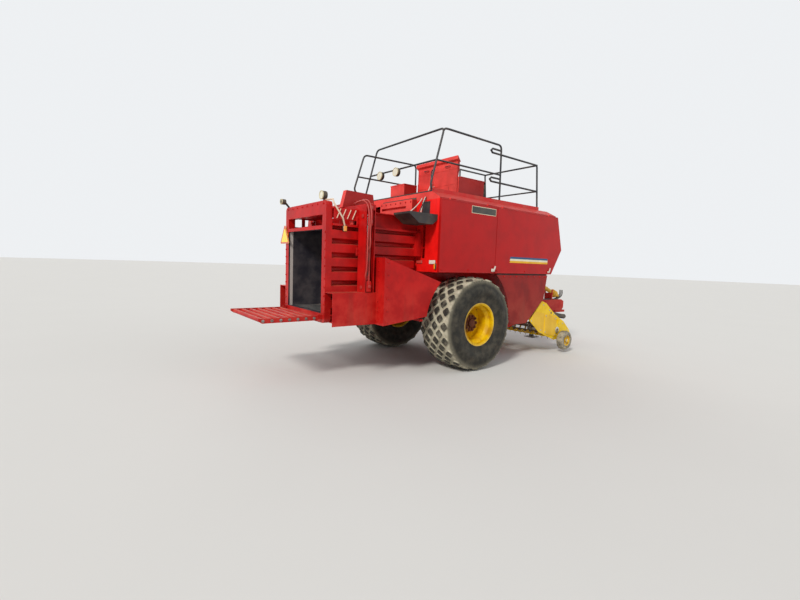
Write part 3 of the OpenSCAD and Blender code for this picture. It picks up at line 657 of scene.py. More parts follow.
def bolt_row(bm, start, end, count, axis, size):
    """Bolts spread evenly from one place to another."""
    for i in range(count):
        bolt(bm, start.lerp(end, i / (count - 1)), axis, size)


def spokes(count, phase=0.0):
    """Cosine and sine of directions spread evenly round a circle."""
    for i in range(count):
        angle = math.tau * (i + phase) / count
        yield math.cos(angle), math.sin(angle)


def hose(name, points, radius, finish, slot):
    """Tube on a smooth curve through a few points, as a piece of the chassis."""
    curve = bpy.data.curves.new(name, "CURVE")
    curve.dimensions = "3D"
    curve.bevel_depth = radius
    curve.bevel_resolution = 3
    curve.resolution_u = 6
    curve.use_fill_caps = True
    line = curve.splines.new("BEZIER")
    line.bezier_points.add(len(points) - 1)
    for point, place in zip(line.bezier_points, points):
        point.co = place
        point.handle_left_type = "AUTO"
        point.handle_right_type = "AUTO"
    holder = bpy.data.objects.new(name + "_curve", curve)
    bpy.context.scene.collection.objects.link(holder)
    bpy.context.view_layer.update()
    mesh = bpy.data.meshes.new_from_object(holder.evaluated_get(bpy.context.evaluated_depsgraph_get()))
    bpy.data.objects.remove(holder)
    bm = bmesh.new()
    bm.from_mesh(mesh)
    bpy.data.meshes.remove(mesh)
    # The curve's end caps come as loose discs
    bmesh.ops.remove_doubles(bm, verts=bm.verts, dist=1e-6)
    add_piece(name, bm, "chassis", finish, 60)


def ring(bm, place, axis, profile, steps=32):
    """Closed profile of (radius, height) points turned about an axis through a place."""
    part = bmesh.new()
    verts = [part.verts.new((r, 0, h)) for r, h in profile]
    edges = [part.edges.new(pair) for pair in zip(verts, verts[1:] + verts[:1])]
    bmesh.ops.spin(part, geom=verts + edges, cent=(0, 0, 0), axis=(0, 0, 1), angle=math.tau, steps=steps,
                   use_merge=True, use_duplicate=False)
    bmesh.ops.remove_doubles(part, verts=part.verts, dist=1e-5)
    bmesh.ops.transform(part, matrix=Matrix.Translation(place) @ along(axis), verts=part.verts)
    mesh = bpy.data.meshes.new("ring")
    part.to_mesh(mesh)
    part.free()
    bm.from_mesh(mesh)
    bpy.data.meshes.remove(mesh)


def new_verts(made):
    """Vertices among the pieces that an operator made."""
    return [item for item in made["geom"] if isinstance(item, bmesh.types.BMVert)]


def plate(bm, corners, depth):
    """Flat plate: a face through its corners, drawn out by a step."""
    face = bm.faces.new([bm.verts.new(corner) for corner in corners])
    made = bmesh.ops.extrude_face_region(bm, geom=[face])
    bmesh.ops.translate(bm, vec=depth, verts=new_verts(made))


def bent(points, reach):
    """Points of a bent tube: each corner becomes an arc that starts a reach before it."""
    steps = 5
    most_of_leg = 0.45
    path = [points[0]]
    for before, corner, after in zip(points, points[1:], points[2:]):
        legs = (before - corner, after - corner)
        start, end = [corner + leg.normalized() * min(reach, leg.length * most_of_leg) for leg in legs]
        for i in range(steps + 1):
            t = i / steps
            path.append(start * (1 - t) ** 2 + corner * (2 * t * (1 - t)) + end * t ** 2)
    return path + [points[-1]]


def tube(bm, points, radius, sides=14, bend=0.0):
    """Round tube through points from the axle, with sharp corners or bent ones."""
    points = [at(*p) for p in points]
    if bend:
        points = bent(points, bend)
    ways = [(after - before).normalized() for before, after in zip(points, points[1:])]
    matrix = Matrix.Translation(points[0]) @ along(ways[0]) @ Matrix.Rotation(-math.pi / 2, 4, "Z")
    made = bmesh.ops.create_circle(bm, cap_ends=True, segments=sides, radius=radius, matrix=matrix)
    edges = edges_of(made["verts"])
    for place, way, following in zip(points[1:], ways, ways[1:] + ways[-1:]):
        mitre = (way + following).normalized()
        verts = new_verts(bmesh.ops.extrude_edge_only(bm, edges=edges))
        for vert in verts:
            vert.co += way * ((place - vert.co).dot(mitre) / way.dot(mitre))
        rim = set(verts)
        edges = [edge for edge in edges_of(verts) if rim.issuperset(edge.verts)]
    bmesh.ops.edgeloop_fill(bm, edges=edges)


def prism(bm, outline, y0, y1):
    """Solid with an outline of (x, z) points from the axle, between two places across the machine."""
    plate(bm, [at(x, y0, z) for x, z in outline], (0, y1 - y0, 0))


def side_sheet(bm, side, y, outline, depth):
    """Flat sheet on one side's outer face, from its (x, z) points, standing out by its depth."""
    plate(bm, [at(x, side * y, z) for x, z in outline], (0, side * depth, 0))


class BalerPaint(bpy.types.PropertyGroup):
    """Colours of the machine's paint."""

    red: bpy.props.FloatVectorProperty(
        name="Red", description="Fresh red paint", subtype="COLOR", size=3, min=0, max=1,
        default=srgb(194, 14, 13))
    faded_red: bpy.props.FloatVectorProperty(
        name="Faded red", description="Red paint bleached by the sun", subtype="COLOR", size=3, min=0, max=1,
        default=srgb(200, 30, 28))
    deep_red: bpy.props.FloatVectorProperty(
        name="Deep red", description="Red paint darkened by grime", subtype="COLOR", size=3, min=0, max=1,
        default=srgb(134, 14, 14))
    yellow: bpy.props.FloatVectorProperty(
        name="Yellow", description="Pickup and wheel paint", subtype="COLOR", size=3, min=0, max=1,
        default=srgb(244, 200, 14))
    dust: bpy.props.FloatProperty(
        name="Dust", description="How much field dust lies on the paint", subtype="FACTOR", min=0, max=1,
        default=0.28)


class BalerSizes(bpy.types.PropertyGroup):
    """Sizes of the pieces that are built round the frame."""

    lug_rows: bpy.props.IntProperty(
        name="Lug rows", description="Rows of lugs across a tyre", min=4, max=8, default=6)
    lugs_in_row: bpy.props.IntProperty(
        name="Lugs in a row", description="Lugs round a tyre in one row", min=14, max=26, default=20)
    lug_height: bpy.props.FloatProperty(
        name="Lug height", description="Height of a lug over its groove", subtype="DISTANCE", unit="LENGTH",
        min=0.01, max=0.04, default=0.020)
    bolt: bpy.props.FloatProperty(
        name="Bolt head", description="Half the width of a panel bolt's head", subtype="DISTANCE",
        unit="LENGTH", min=0.005, max=0.02, default=0.011)
    hose: bpy.props.FloatProperty(
        name="Hose radius", description="Radius of a hydraulic hose", subtype="DISTANCE", unit="LENGTH",
        min=0.006, max=0.02, default=0.011)


class BalerView(bpy.types.PropertyGroup):
    """The photograph's point of view."""

    place: bpy.props.FloatVectorProperty(
        name="Camera", description="Place of the camera", subtype="TRANSLATION", unit="LENGTH", size=3,
        default=(-6.03, -6.00, 1.78))
    heading: bpy.props.FloatProperty(
        name="Heading", description="Direction of view, from +X towards +Y", subtype="ANGLE", unit="ROTATION",
        default=math.radians(52.1))
    pitch: bpy.props.FloatProperty(
        name="Pitch", description="Tilt of the view above the horizon", subtype="ANGLE", unit="ROTATION",
        default=math.radians(-5.14))
    roll: bpy.props.FloatProperty(
        name="Roll", description="Turn of the picture", subtype="ANGLE", unit="ROTATION",
        default=math.radians(2.01))
    lens: bpy.props.FloatProperty(
        name="Lens", description="Focal length for a sensor 36 mm wide", unit="CAMERA", min=10, max=100,
        default=18.53)


class BALER_OT_stage(bpy.types.Operator):
    """Builds the camera, the floor and the light"""

    bl_idname = "baler.stage"
    bl_label = "Stage"

    def camera(self, scene):
        view = scene.baler_view
        heading = view.heading
        level = math.cos(view.pitch)
        forward = Vector((math.cos(heading) * level, math.sin(heading) * level, math.sin(view.pitch)))
        right = Vector((math.sin(heading), -math.cos(heading), 0))
        up = right.cross(forward)
        turned_right = right * math.cos(view.roll) + up * math.sin(view.roll)
        turned_up = up * math.cos(view.roll) - right * math.sin(view.roll)
        camera_data = bpy.data.cameras.new("photo_camera")
        camera_data.sensor_width = 36.0
        camera_data.lens = view.lens
        camera_data.clip_end = 400.0
        camera = bpy.data.objects.new("photo_camera", camera_data)
        scene.collection.objects.link(camera)
        turn = Matrix((turned_right, turned_up, -forward)).transposed().to_4x4()
        camera.matrix_world = Matrix.Translation(Vector(view.place)) @ turn
        scene.camera = camera
        scene.view_settings.view_transform = "Standard"

    def floor(self, scene):
        floor_mesh = bpy.data.meshes.new("studio_floor")
        bm = bmesh.new()
        bmesh.ops.create_circle(bm, cap_ends=True, radius=120.0, segments=64)
        bm.to_mesh(floor_mesh)
        bm.free()
        floor = bpy.data.objects.new("studio_floor", floor_mesh)
        scene.collection.objects.link(floor)
        f = Finish("studio floor")
        ground = f.mix(f.noise(0.6, 4.0) * 0.5, (0.66, 0.65, 0.63), (0.70, 0.69, 0.67))
        floor_mesh.materials.append(f.surface(colour=ground, roughness=0.9, specular=0.1))

    def surroundings(self, scene):
        """Plain sky, which lights the machine less than the camera and reflections show it."""
        world = bpy.data.worlds.new("studio")
        scene.world = world
        world.use_nodes = True
        tree = world.node_tree
        tree.nodes.clear()
        output = tree.nodes.new("ShaderNodeOutputWorld")
        skies = []
        for colour, strength in (((0.94, 0.97, 1.0, 1), 0.52), ((0.90, 0.92, 0.94, 1), 0.95)):
            sky = tree.nodes.new("ShaderNodeBackground")
            sky.inputs["Color"].default_value = colour
            sky.inputs["Strength"].default_value = strength
            skies.append(sky.outputs[0])
        path = tree.nodes.new("ShaderNodeLightPath")
        seen = tree.nodes.new("ShaderNodeMath")
        seen.operation = "MAXIMUM"
        tree.links.new(path.outputs["Is Camera Ray"], seen.inputs[0])
        tree.links.new(path.outputs["Is Glossy Ray"], seen.inputs[1])
        choice = tree.nodes.new("ShaderNodeMixShader")
        tree.links.new(seen.outputs[0], choice.inputs[0])
        tree.links.new(skies[0], choice.inputs[1])
        tree.links.new(skies[1], choice.inputs[2])
        tree.links.new(choice.outputs[0], output.inputs["Surface"])

    def lights(self, scene):
        lamps = (
            ("key", (-11.0, -5.0, 9.0), 2.3, 10.0, (1.0, 0.97, 0.92)),
            ("fill", (8.0, -10.0, 7.0), 0.35, 40.0, (0.94, 0.97, 1.0)),
            ("rim", (4.0, 12.0, 9.0), 0.50, 40.0, (1.0, 0.98, 0.95)),
        )
        for name, place, strength, spread, colour in lamps:
            data = bpy.data.lights.new(name, "SUN")
            data.energy = strength
            data.angle = math.radians(spread)
            data.color = colour
            lamp = bpy.data.objects.new(name, data)
            scene.collection.objects.link(lamp)
            lamp.matrix_world = Matrix.Translation(place) @ along(place)

    def execute(self, context):
        scene = context.scene
        self.camera(scene)
        self.floor(scene)
        self.surroundings(scene)
        self.lights(scene)
        return {"FINISHED"}


class BALER_OT_paint(bpy.types.Operator):
    """Gives every frame node its finish"""

    bl_idname = "baler.paint"
    bl_label = "Paint the frame"

    def execute(self, context):
        make_finishes(context.scene.baler_paint)
        for name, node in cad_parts.items():
            node.data.materials.clear()
            node.data.materials.append(FINISHES[NODE_FINISHES[name]])
        return {"FINISHED"}


def crown(y):
    """Radius over the lugs at a distance from the tyre's middle."""
    return CROWN_R - CROWN_DROP * min(1.0, abs(y) / CROWN_HALF) ** CROWN_POWER


def tyre_skin(bm, side, lug_height):
    """Carcass of one tyre, turned from its section of (radius, distance from the middle) points."""
    bulge_r = 0.570
    bulge_y = 0.1975
    bulge = 0.1585
    half = [(0.343, 0.262), (0.343, 0.290), (0.352, 0.296), (0.372, 0.3135), (0.378, 0.3135)]
    for i in range(9):
        angle = math.radians(127 - 65 * i / 8)
        half.append((bulge_r + bulge * math.cos(angle), bulge_y + bulge * math.sin(angle)))
    half += [(0.662, 0.337), (0.672, 0.3335), (0.720, 0.3285), (0.741, 0.318)]
    half += [(crown(y) - lug_height, y) for y in (0.30, 0.24, 0.16, 0.08)]
    section = half + [(crown(0) - lug_height, 0.0)] + [(r, -y) for r, y in reversed(half)]
    ring(bm, wheel_middle(side), (0, 1, 0), section, 96)


def lay_copies(bm, template, places, bend):
    """Copies a template to each place, with its points moved by bend(point, *place)."""
    template.verts.index_update()
    points = [v.co.copy() for v in template.verts]
    faces = [[v.index for v in face.verts] for face in template.faces]
    for place in places:
        verts = [bm.verts.new(bend(point, *place)) for point in points]
        for face in faces:
            bm.faces.new([verts[i] for i in face])


def tyre_lugs(bm, side, rows, count, lug_height):
    """Staggered diamond lugs and short shoulder ribs, laid round the tyre from one block each."""
    centre = wheel_middle(side)
    tread_half = 0.3235
    # Lugs: spacing of the rows, half their width across and, as an angle, round the tyre, sunken root
    row_pitch = 0.1002
    half_across = 0.082
    half_turn = 0.089 / 0.79
    root_drop = 0.004
    # Ribs: middle's radius and place across, depth, width as an angle, thickness and lean
    rib_r = 0.716
    rib_y = 0.3275
    rib_depth = 0.05
    rib_turn = 0.02 / 0.72
    rib_thick = 0.008
    rib_lean = 0.006
    ribs_per_lug = 4

    def polar(radius, turn, across):
        return centre + Vector((radius * math.sin(turn), across, radius * math.cos(turn)))

    lug = bmesh.new()
    bmesh.ops.create_cone(lug, cap_ends=True, cap_tris=False, segments=4, radius1=1.04, radius2=0.90,
                          depth=1.0)
    upright = [e for e in lug.edges if abs(e.verts[0].co.z - e.verts[1].co.z) > 0.5]
    bevel(lug, upright, 0.32, 3)
    top = [e for e in lug.edges if e.verts[0].co.z > 0.4 and e.verts[1].co.z > 0.4]
    bevel(lug, top, 0.06, 1)

    def lug_bend(point, angle, y):
        across = max(-tread_half, min(tread_half, y + point.y * half_across))
        radius = crown(across) - lug_height * (0.5 - point.z) - (root_drop if point.z < 0 else 0.0)
        return polar(radius, angle + point.x * half_turn, across)

    places = []
    for row in range(rows):
        for i in range(count):
            places.append(((i + 0.5 * (row % 2)) / count * math.tau, (row - (rows - 1) / 2) * row_pitch))
    lay_copies(bm, lug, places, lug_bend)
    lug.free()

    rib = bmesh.new()
    bmesh.ops.create_cube(rib, size=1.0)
    bevel(rib, rib.edges[:], 0.2, 1)

    def rib_bend(point, angle, edge_side):
        across = edge_side * (rib_y - (0.5 - point.z) * rib_lean + point.y * rib_thick)
        return polar(rib_r + point.z * rib_depth, angle + point.x * rib_turn, across)

    places = []
    rib_count = count * ribs_per_lug
    for edge_side in (-1, 1):
        for i in range(rib_count):
            places.append(((i + 0.5) / rib_count * math.tau, edge_side))
    lay_copies(bm, rib, places, rib_bend)
    rib.free()


class BALER_OT_tyres(bpy.types.Operator):
    """Builds both tyres with their diamond lugs"""

    bl_idname = "baler.tyres"
    bl_label = "Tyres"

    def execute(self, context):
        sizes = context.scene.baler_sizes
        for side, name in SIDES:
            bm = bmesh.new()
            tyre_skin(bm, side, sizes.lug_height)
            tyre_lugs(bm, side, sizes.lug_rows, sizes.lugs_in_row, sizes.lug_height)
            piece = add_piece("lugged_tyre_" + name, bm, "wheel_" + name, "tyre_" + name, 32)
            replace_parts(piece, "tyre_" + name)
        return {"FINISHED"}


class BALER_OT_wheel_nuts(bpy.types.Operator):
    """Adds the nuts, hub cap and valve of each rim"""

    bl_idname = "baler.wheel_nuts"
    bl_label = "Wheel nuts"

    def execute(self, context):
        hub_out = 0.110
        nut_circle = 0.122
        cap = [(0.0005, 0.0), (0.072, 0.0), (0.070, 0.030), (0.050, 0.046), (0.0005, 0.050)]
        for side, name in SIDES:
            out = Vector((0, side, 0))
            hub = wheel_middle(side) + out * hub_out
            nuts = bmesh.new()
            for ahead, up in spokes(10):
                place = hub + Vector((ahead, 0, up)) * nut_circle
                disc(nuts, place, out, 0.013, 0.030, 12)
                bolt(nuts, place, out, 0.021, 0.018)
            ring(nuts, hub, out, cap)
            add_piece("wheel_nuts_" + name, nuts, "wheel_" + name, "hub")
            valve = bmesh.new()
            foot = wheel_middle(side) + Vector((0.19, side * 0.05, 0.22))
            lean = Vector((0.4, side, 0.5))
            disc(valve, foot, lean, 0.009, 0.07, 10)
            disc(valve, foot, lean, 0.014, 0.02, 10)
            add_piece("valve_" + name, valve, "wheel_" + name, "rubber")
        return {"FINISHED"}


class BALER_OT_doors(bpy.types.Operator):
    """Adds the bands, blank plates, lips, bolts and latches of the side doors"""

    bl_idname = "baler.doors"
    bl_label = "Door trim"

    def execute(self, context):
        head = context.scene.baler_sizes.bolt
        # Outer face of the skins, and the heights of their edges, bolts and latches
        skin = 1.218
        low_edge = 1.657
        top_edge = 2.796
        bolt_z = 1.700
        latch_z = 1.680
        lip = (skin - 0.012, skin + 0.004)
        gap = 0.004
        bands = (("blue", 1.928, 1.965), ("pale", 1.892, 1.928), ("gold", 1.855, 1.892))
        layers = (("rim", 0.0, 0.0012, "band_pale"), ("face", 0.008, 0.0018, "plate_dark"))
        # Rear and front end of each door, and the front end of its lower edge
        doors = (("rear", -0.80, 0.55, 0.55), ("front", 0.56, 2.45, 2.31))
        for side, name in SIDES:
            out = Vector((0, side, 0))
            for colour, low, high in bands:
                band = bmesh.new()
                outline = [(0.96, low), (2.175, low), (2.175, high), (0.985, high)]
                side_sheet(band, side, skin, outline, 0.0012)
                finish = "band_" + colour
                add_piece(f"{finish}_{name}", band, "door_front_" + name, finish)
            for part, inset, depth, finish in layers:
                layer = bmesh.new()
                rear = -0.110 + inset
                front = 0.510 - inset
                low = 2.650 + inset
                high = 2.772 - inset
                side_sheet(layer, side, skin, [(rear, low), (front, low), (front, high), (rear, high)], depth)
                add_piece(f"blank_plate_{part}_{name}", layer, "door_rear_" + name, finish)
            for part, rear, front, low_front in doors:
                lips = bmesh.new()
                side_box(lips, side, (rear + gap, front - gap), lip, (top_edge, top_edge + 0.0145), 0.003)
                side_box(lips, side, (rear + gap, low_front - gap), lip, (low_edge, low_edge + 0.014), 0.003)
                add_piece(f"door_lips_{part}_{name}", lips, f"door_{part}_{name}", "red_door")
                bolts = bmesh.new()
                for x in (rear + 0.05, (rear + low_front) / 2, low_front - 0.05):
                    bolt(bolts, at(x, side * skin, bolt_z), out, head)
                add_piece(f"door_bolts_{part}_{name}", bolts, f"door_{part}_{name}", "red_door")
            for part, x, size in (("rear", 0.500, 1.0), ("front", 2.225, 0.7)):
                latch = bmesh.new()
                side_box(latch, side, (x - 0.046 * size, x + 0.040 * size), (skin + 0.001, skin + 0.014),
                         (latch_z, latch_z + 0.055 * size), 0.006)
                disc(latch, at(x, side * (skin + 0.012), 1.707), out, 0.018 * size, 0.022, 20, 0.004)
                grip = [(x - 0.020, 1.695), (x + 0.010 * size, 1.690), (x + 0.046 * size, 1.775),
                        (x + 0.024 * size, 1.785)]
                side_sheet(latch, side, skin + 0.022, grip, 0.012)
                add_piece(f"latch_{part}_{name}", latch, f"door_{part}_{name}", "pale")
        return {"FINISHED"}


class BALER_OT_rails(bpy.types.Operator):
    """Builds the handrail round the deck from bent tubes"""

    bl_idname = "baler.rails"
    bl_label = "Handrail"

    def execute(self, context):
        outer = 0.953
        ladder_y = 0.895
        inner = 0.390
        foot = 2.940
        top = 3.980
        front_top = 3.815
        middle = 3.455
        ladder_mid = 3.390
        low = 3.310
        front = 2.000
        front_foot = 2.090
        inner_x = 1.200
        thick = 0.017
        thin = 0.015
        bend = 0.080
        rails = bmesh.new()
        # Hoop across the rear, then the right side
        post = [(-0.775, foot), (-0.815, 3.060), (-0.565, top)]
        hoop = [(x, -outer, z) for x, z in post] + [(x, outer, z) for x, z in reversed(post)]
        tube(rails, hoop, thick, bend=bend)
        tube(rails, [(-0.708, -outer, middle), (-0.708, outer, middle)], thin)
        tube(rails, [(-0.576, -outer, top - 0.040), (-0.540, -outer, top), (0.877, -outer, top),
                     (0.900, -outer, foot)], thick, bend=bend)
        tube(rails, [(-0.708, -outer, middle), (0.889, -outer, middle)], thin)
        # Left side, which starts with a hoop at the head of the ladder
        tube(rails, [(-0.770, ladder_y, foot), (-1.120, ladder_y, 3.120), (-0.900, ladder_y, 3.820),
                     (0.390, ladder_y, 3.840), (0.400, ladder_y, foot)], thick, bend=bend)
        tube(rails, [(-1.035, ladder_y, ladder_mid), (0.395, ladder_y, ladder_mid)], thin)
        # Front frame: hooked ends on the right, a post on the left
        for z, end in ((front_top, front), (low, 2.050)):
            tube(rails, [(0.885, -outer, z + 0.070), (0.640, -outer, z + 0.070), (0.600, -outer, z + 0.035),
                         (0.640, -outer, z), (end, -outer, z)], thick)
        tube(rails, [(front_foot, -outer, foot), (front, -outer, front_top), (front, inner, front_top),
                     (front_foot, inner, foot)], thick, bend=bend / 2)
        tube(rails, [(2.050, -outer, low), (2.050, inner, low)], thin)
        tube(rails, [(inner_x, inner, foot), (inner_x, inner, front_top), (front, inner, front_top)], thick)
        tube(rails, [(inner_x, inner, low), (2.050, inner, low)], thin)
        feet = ((-0.775, -outer), (-0.775, outer), (0.900, -outer), (-0.770, ladder_y), (0.400, ladder_y),
                (front_foot, -outer), (front_foot, inner), (inner_x, inner))
        for x, y in feet:
            disc(rails, at(x, y, DECK_Z + 0.0005), (0, 0, 1), 0.034, 0.008, 20, 0.002)
        piece = add_piece("handrail_tubes", rails, "chassis", "black", 50)
        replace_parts(piece, "handrail")
        return {"FINISHED"}


class BALER_OT_roof(bpy.types.Operator):
    """Builds the knotter hood, the boxes on the roof, and the channels and covers round them"""

    bl_idname = "baler.roof"
    bl_label = "Roof and channels"

    def hood(self):
        bm = bmesh.new()
        rear_sheet = [(0.070, DECK_Z), (0.070, 3.655), (0.110, 3.610), (0.112, 3.490), (0.085, 3.345),
                      (0.085, DECK_Z)]
        visor = [(0.030, 3.645), (0.030, 3.705), (0.105, 3.605), (0.075, 3.615)]
        prism(bm, rear_sheet, -0.670, 0.410)
        prism(bm, visor, -0.700, 0.440)
        box(bm, at(0.075, -0.705, DECK_Z), at(0.760, 0.440, 3.345), 0.006)
        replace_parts(add_piece("hood_sheets", bm, "chassis", "red_top"), "knotter_hood")

    def boxes(self):
        bm = bmesh.new()
        box(bm, at(-0.250, 0.450, DECK_Z), at(0.0697, 0.900, 3.320), 0.006)
        # Wall behind the deck, round a slot whose bottom lies further in
        rear = -0.905
        right = -0.615
        left = 0.300
        slot = (2.700, 2.740)
        walls = (
            (rear, right, left, 2.301, slot[0]),
            (rear, right, left, slot[1], 2.840),
            (rear, right, -0.450, *slot),
            (rear, 0.250, left, *slot),
            (-0.850, -0.450, 0.250, *slot),
        )
        for x, y0, y1, z0, z1 in walls:
            box(bm, at(x, y0, z0), at(-0.801, y1, z1))
        # Upright plate over the chamber, with slanted edges
        upright = [(-2.045, 2.610), (-1.975, 2.880), (-1.480, 2.865), (-1.450, 2.690), (-1.450, 2.301),
                   (-1.845, 2.301), (-1.845, 2.610)]
        prism(bm, upright, -0.310, -0.210)
        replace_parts(add_piece("roof_boxes", bm, "chassis", "red_top"), "top_boxes")

    def channels(self):
        bm = bmesh.new()
        rear = -2.430
        front = -0.800
        web = (0.640, 0.650)
        flange = (0.640, 0.740)
        window = (2.320, 2.450)
        box(bm, at(rear, -flange[1], 2.280), at(front, flange[1], 2.300))
        box(bm, at(front, -0.615, 2.280), at(1.900, 0.615, 2.300))
        for side, _ in SIDES:
            side_box(bm, side, (rear, front), flange, (2.300, 2.310))
            side_box(bm, side, (rear, front), flange, (2.520, 2.530))
            side_box(bm, side, (rear, front), web, (2.310, window[0]))
            side_box(bm, side, (rear, front), web, (window[1], 2.520))
            for x in ((rear, -2.400), (-2.280, -2.220), (-2.030, front)):
                side_box(bm, side, x, web, window)
        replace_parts(add_piece("roof_channels", bm, "chassis", "red_chamber"), "chamber_roof")

    def covers(self):
        cover = bmesh.new()
        box(cover, at(-2.430, -0.640, 2.470), at(-2.010, 0.640, 2.480))
        box(cover, at(-2.428, -0.746, 2.370), at(-2.015, -0.740, 2.535))
        for i in range(4):
            x = -2.380 + 0.085 * i
            tube(cover, [(x, -0.752, 2.385), (x + 0.060, -0.752, 2.520)], 0.007, 10)
        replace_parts(add_piece("cover_and_rods", cover, "chassis", "roof_sheet"), "roof_sheet")
        pan = bmesh.new()
        section = [(-1.3695, 2.529), (-0.8005, 2.529), (-0.8005, 2.480), (-0.900, 2.400), (-1.180, 2.400)]
        prism(pan, section, -1.1395, -0.741)
        add_piece("step_pan", pan, "chassis", "deck")
        # Black sheets in the gaps at the twine boxes' rear ends: painted shade in the openings
        gaps = bmesh.new()
        for side, _ in SIDES:
            side_box(gaps, side, (-0.8015, -0.7995), (0.755, 0.950), (2.570, 2.789))
        add_piece("twine_box_shade_sheets", gaps, "chassis", "black")

    def execute(self, context):
        self.hood()
        self.boxes()
        self.channels()
        self.covers()
        return {"FINISHED"}


# Reflectors on each rear sheet: finish, rear face, places across and up
MARKERS = (
    ("amber", -0.830, (1.125, 1.160), (1.700, 1.790)),
    ("white", -0.808, (0.985, 1.135), (1.778, 1.844)),
    ("pale_red", -0.808, (0.670, 0.810), (1.782, 1.838)),
)

# Round lamps that face the rear: finish and middle of the glass, radius, depth, facets, broken edge
LAMPS = (
    ("glass", (-2.540, -0.580, 2.705), 0.060, 0.070, 28, 0.004),
    ("plate_dark", (-2.620, 0.700, 2.720), 0.045, 0.070, 28, 0.004),
    ("glass", (-0.783, 0.040, 3.395), 0.075, 0.0597, 32, 0.005),
    ("glass", (-0.783, 0.530, 3.395), 0.075, 0.0597, 32, 0.005),
)


class BALER_OT_lamps(bpy.types.Operator):
    """Builds the lamps, reflectors and marker rod, and faces the warning triangle"""

    bl_idname = "baler.lamps"
    bl_label = "Lamps and sign"

    def housings(self):
        bm = bmesh.new()
        for _, place, radius, depth, facets, edge in LAMPS:
            disc(bm, at(*place), (1, 0, 0), radius, depth, facets, edge)
        box(bm, at(-2.510, -0.590, 2.625), at(-2.490, -0.570, 2.650), 0.002)
        tube(bm, [(-2.480, 0.7293, 2.300), (-2.480, 0.7293, 2.650), (-2.560, 0.702, 2.720)], 0.017)
        for side, _ in SIDES:
            for _, x, y, z in MARKERS:
                side_box(bm, side, (x, -0.8002), y, z, 0.003)
            side_box(bm, side, (-2.280, -2.220), (0.7405, 0.765), (2.200, 2.290), 0.003)
        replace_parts(add_piece("lamp_housings", bm, "chassis", "rubber"), "lamps")
        rod = bmesh.new()
        tube(rod, [(-2.490, -0.585, 2.643), (-2.440, -0.735, 2.643), (-2.440, -0.765, 2.590),
                   (-2.300, -0.785, 2.390), (-2.250, -0.754, 2.285)], 0.012)
        add_piece("marker_rod", rod, "chassis", "pale_rod")

    def lenses(self):
        inset = 0.003
        for row, (side, _) in enumerate(SIDES):
            for i, (finish, x, y, z) in enumerate(MARKERS):
                bm = bmesh.new()
                side_box(bm, side, (x - 0.007, x + 0.001), (y[0] + inset, y[1] - inset),
                         (z[0] + inset, z[1] - inset), 0.004)
                add_piece(f"marker_{len(MARKERS) * row + i}", bm, "chassis", finish)
        for side, name in SIDES:
            bm = bmesh.new()
            side_box(bm, side, (-2.276, -2.224), (0.7645, 0.7735), (2.206, 2.284), 0.004)
            add_piece("side_marker_" + name, bm, "chassis", "amber")
        panes = {"glass": bmesh.new(), "plate_dark": bmesh.new()}
        rims = bmesh.new()
        for finish, place, r, *_ in LAMPS:
            pane = [(0.0004, 0.0), (r - 0.006, 0.0), (r - 0.008, 0.004), (0.0004, 0.010)]
            rim = [(r - 0.010, -0.004), (r + 0.003, -0.004), (r + 0.003, 0.008), (r - 0.004, 0.011),
                   (r - 0.010, 0.006)]
            ring(panes[finish], at(*place), (-1, 0, 0), pane, 28)
            ring(rims, at(*place), (-1, 0, 0), rim, 28)
        add_piece("lamp_glasses", panes["glass"], "chassis", "glass")
        add_piece("portal_lamp_glass", panes["plate_dark"], "chassis", "plate_dark")
        add_piece("lamp_rims", rims, "chassis", "cream")

    def sign(self):
        centre = at(-2.5485, 0.720, 2.160)
        outline = [(-0.180, -0.105), (-0.160, -0.125), (0.160, -0.125), (0.180, -0.105), (0.020, 0.175),
                   (-0.020, 0.175)]
        layers = (
            ("sign_border", "sign_red", 0.985, 0.0, 0.0015),
            ("sign_face", "sign_yellow", 0.74, 0.008, 0.0035),
        )
        for name, finish, scale, drop, depth in layers:
            bm = bmesh.new()
            corners = [centre + Vector((0, -y * scale, z * scale - drop)) for y, z in outline]
            plate(bm, corners, (-depth, 0, 0))
            add_piece(name, bm, "chassis", finish)

    def execute(self, context):
        self.housings()
        self.lenses()
        self.sign()
        return {"FINISHED"}


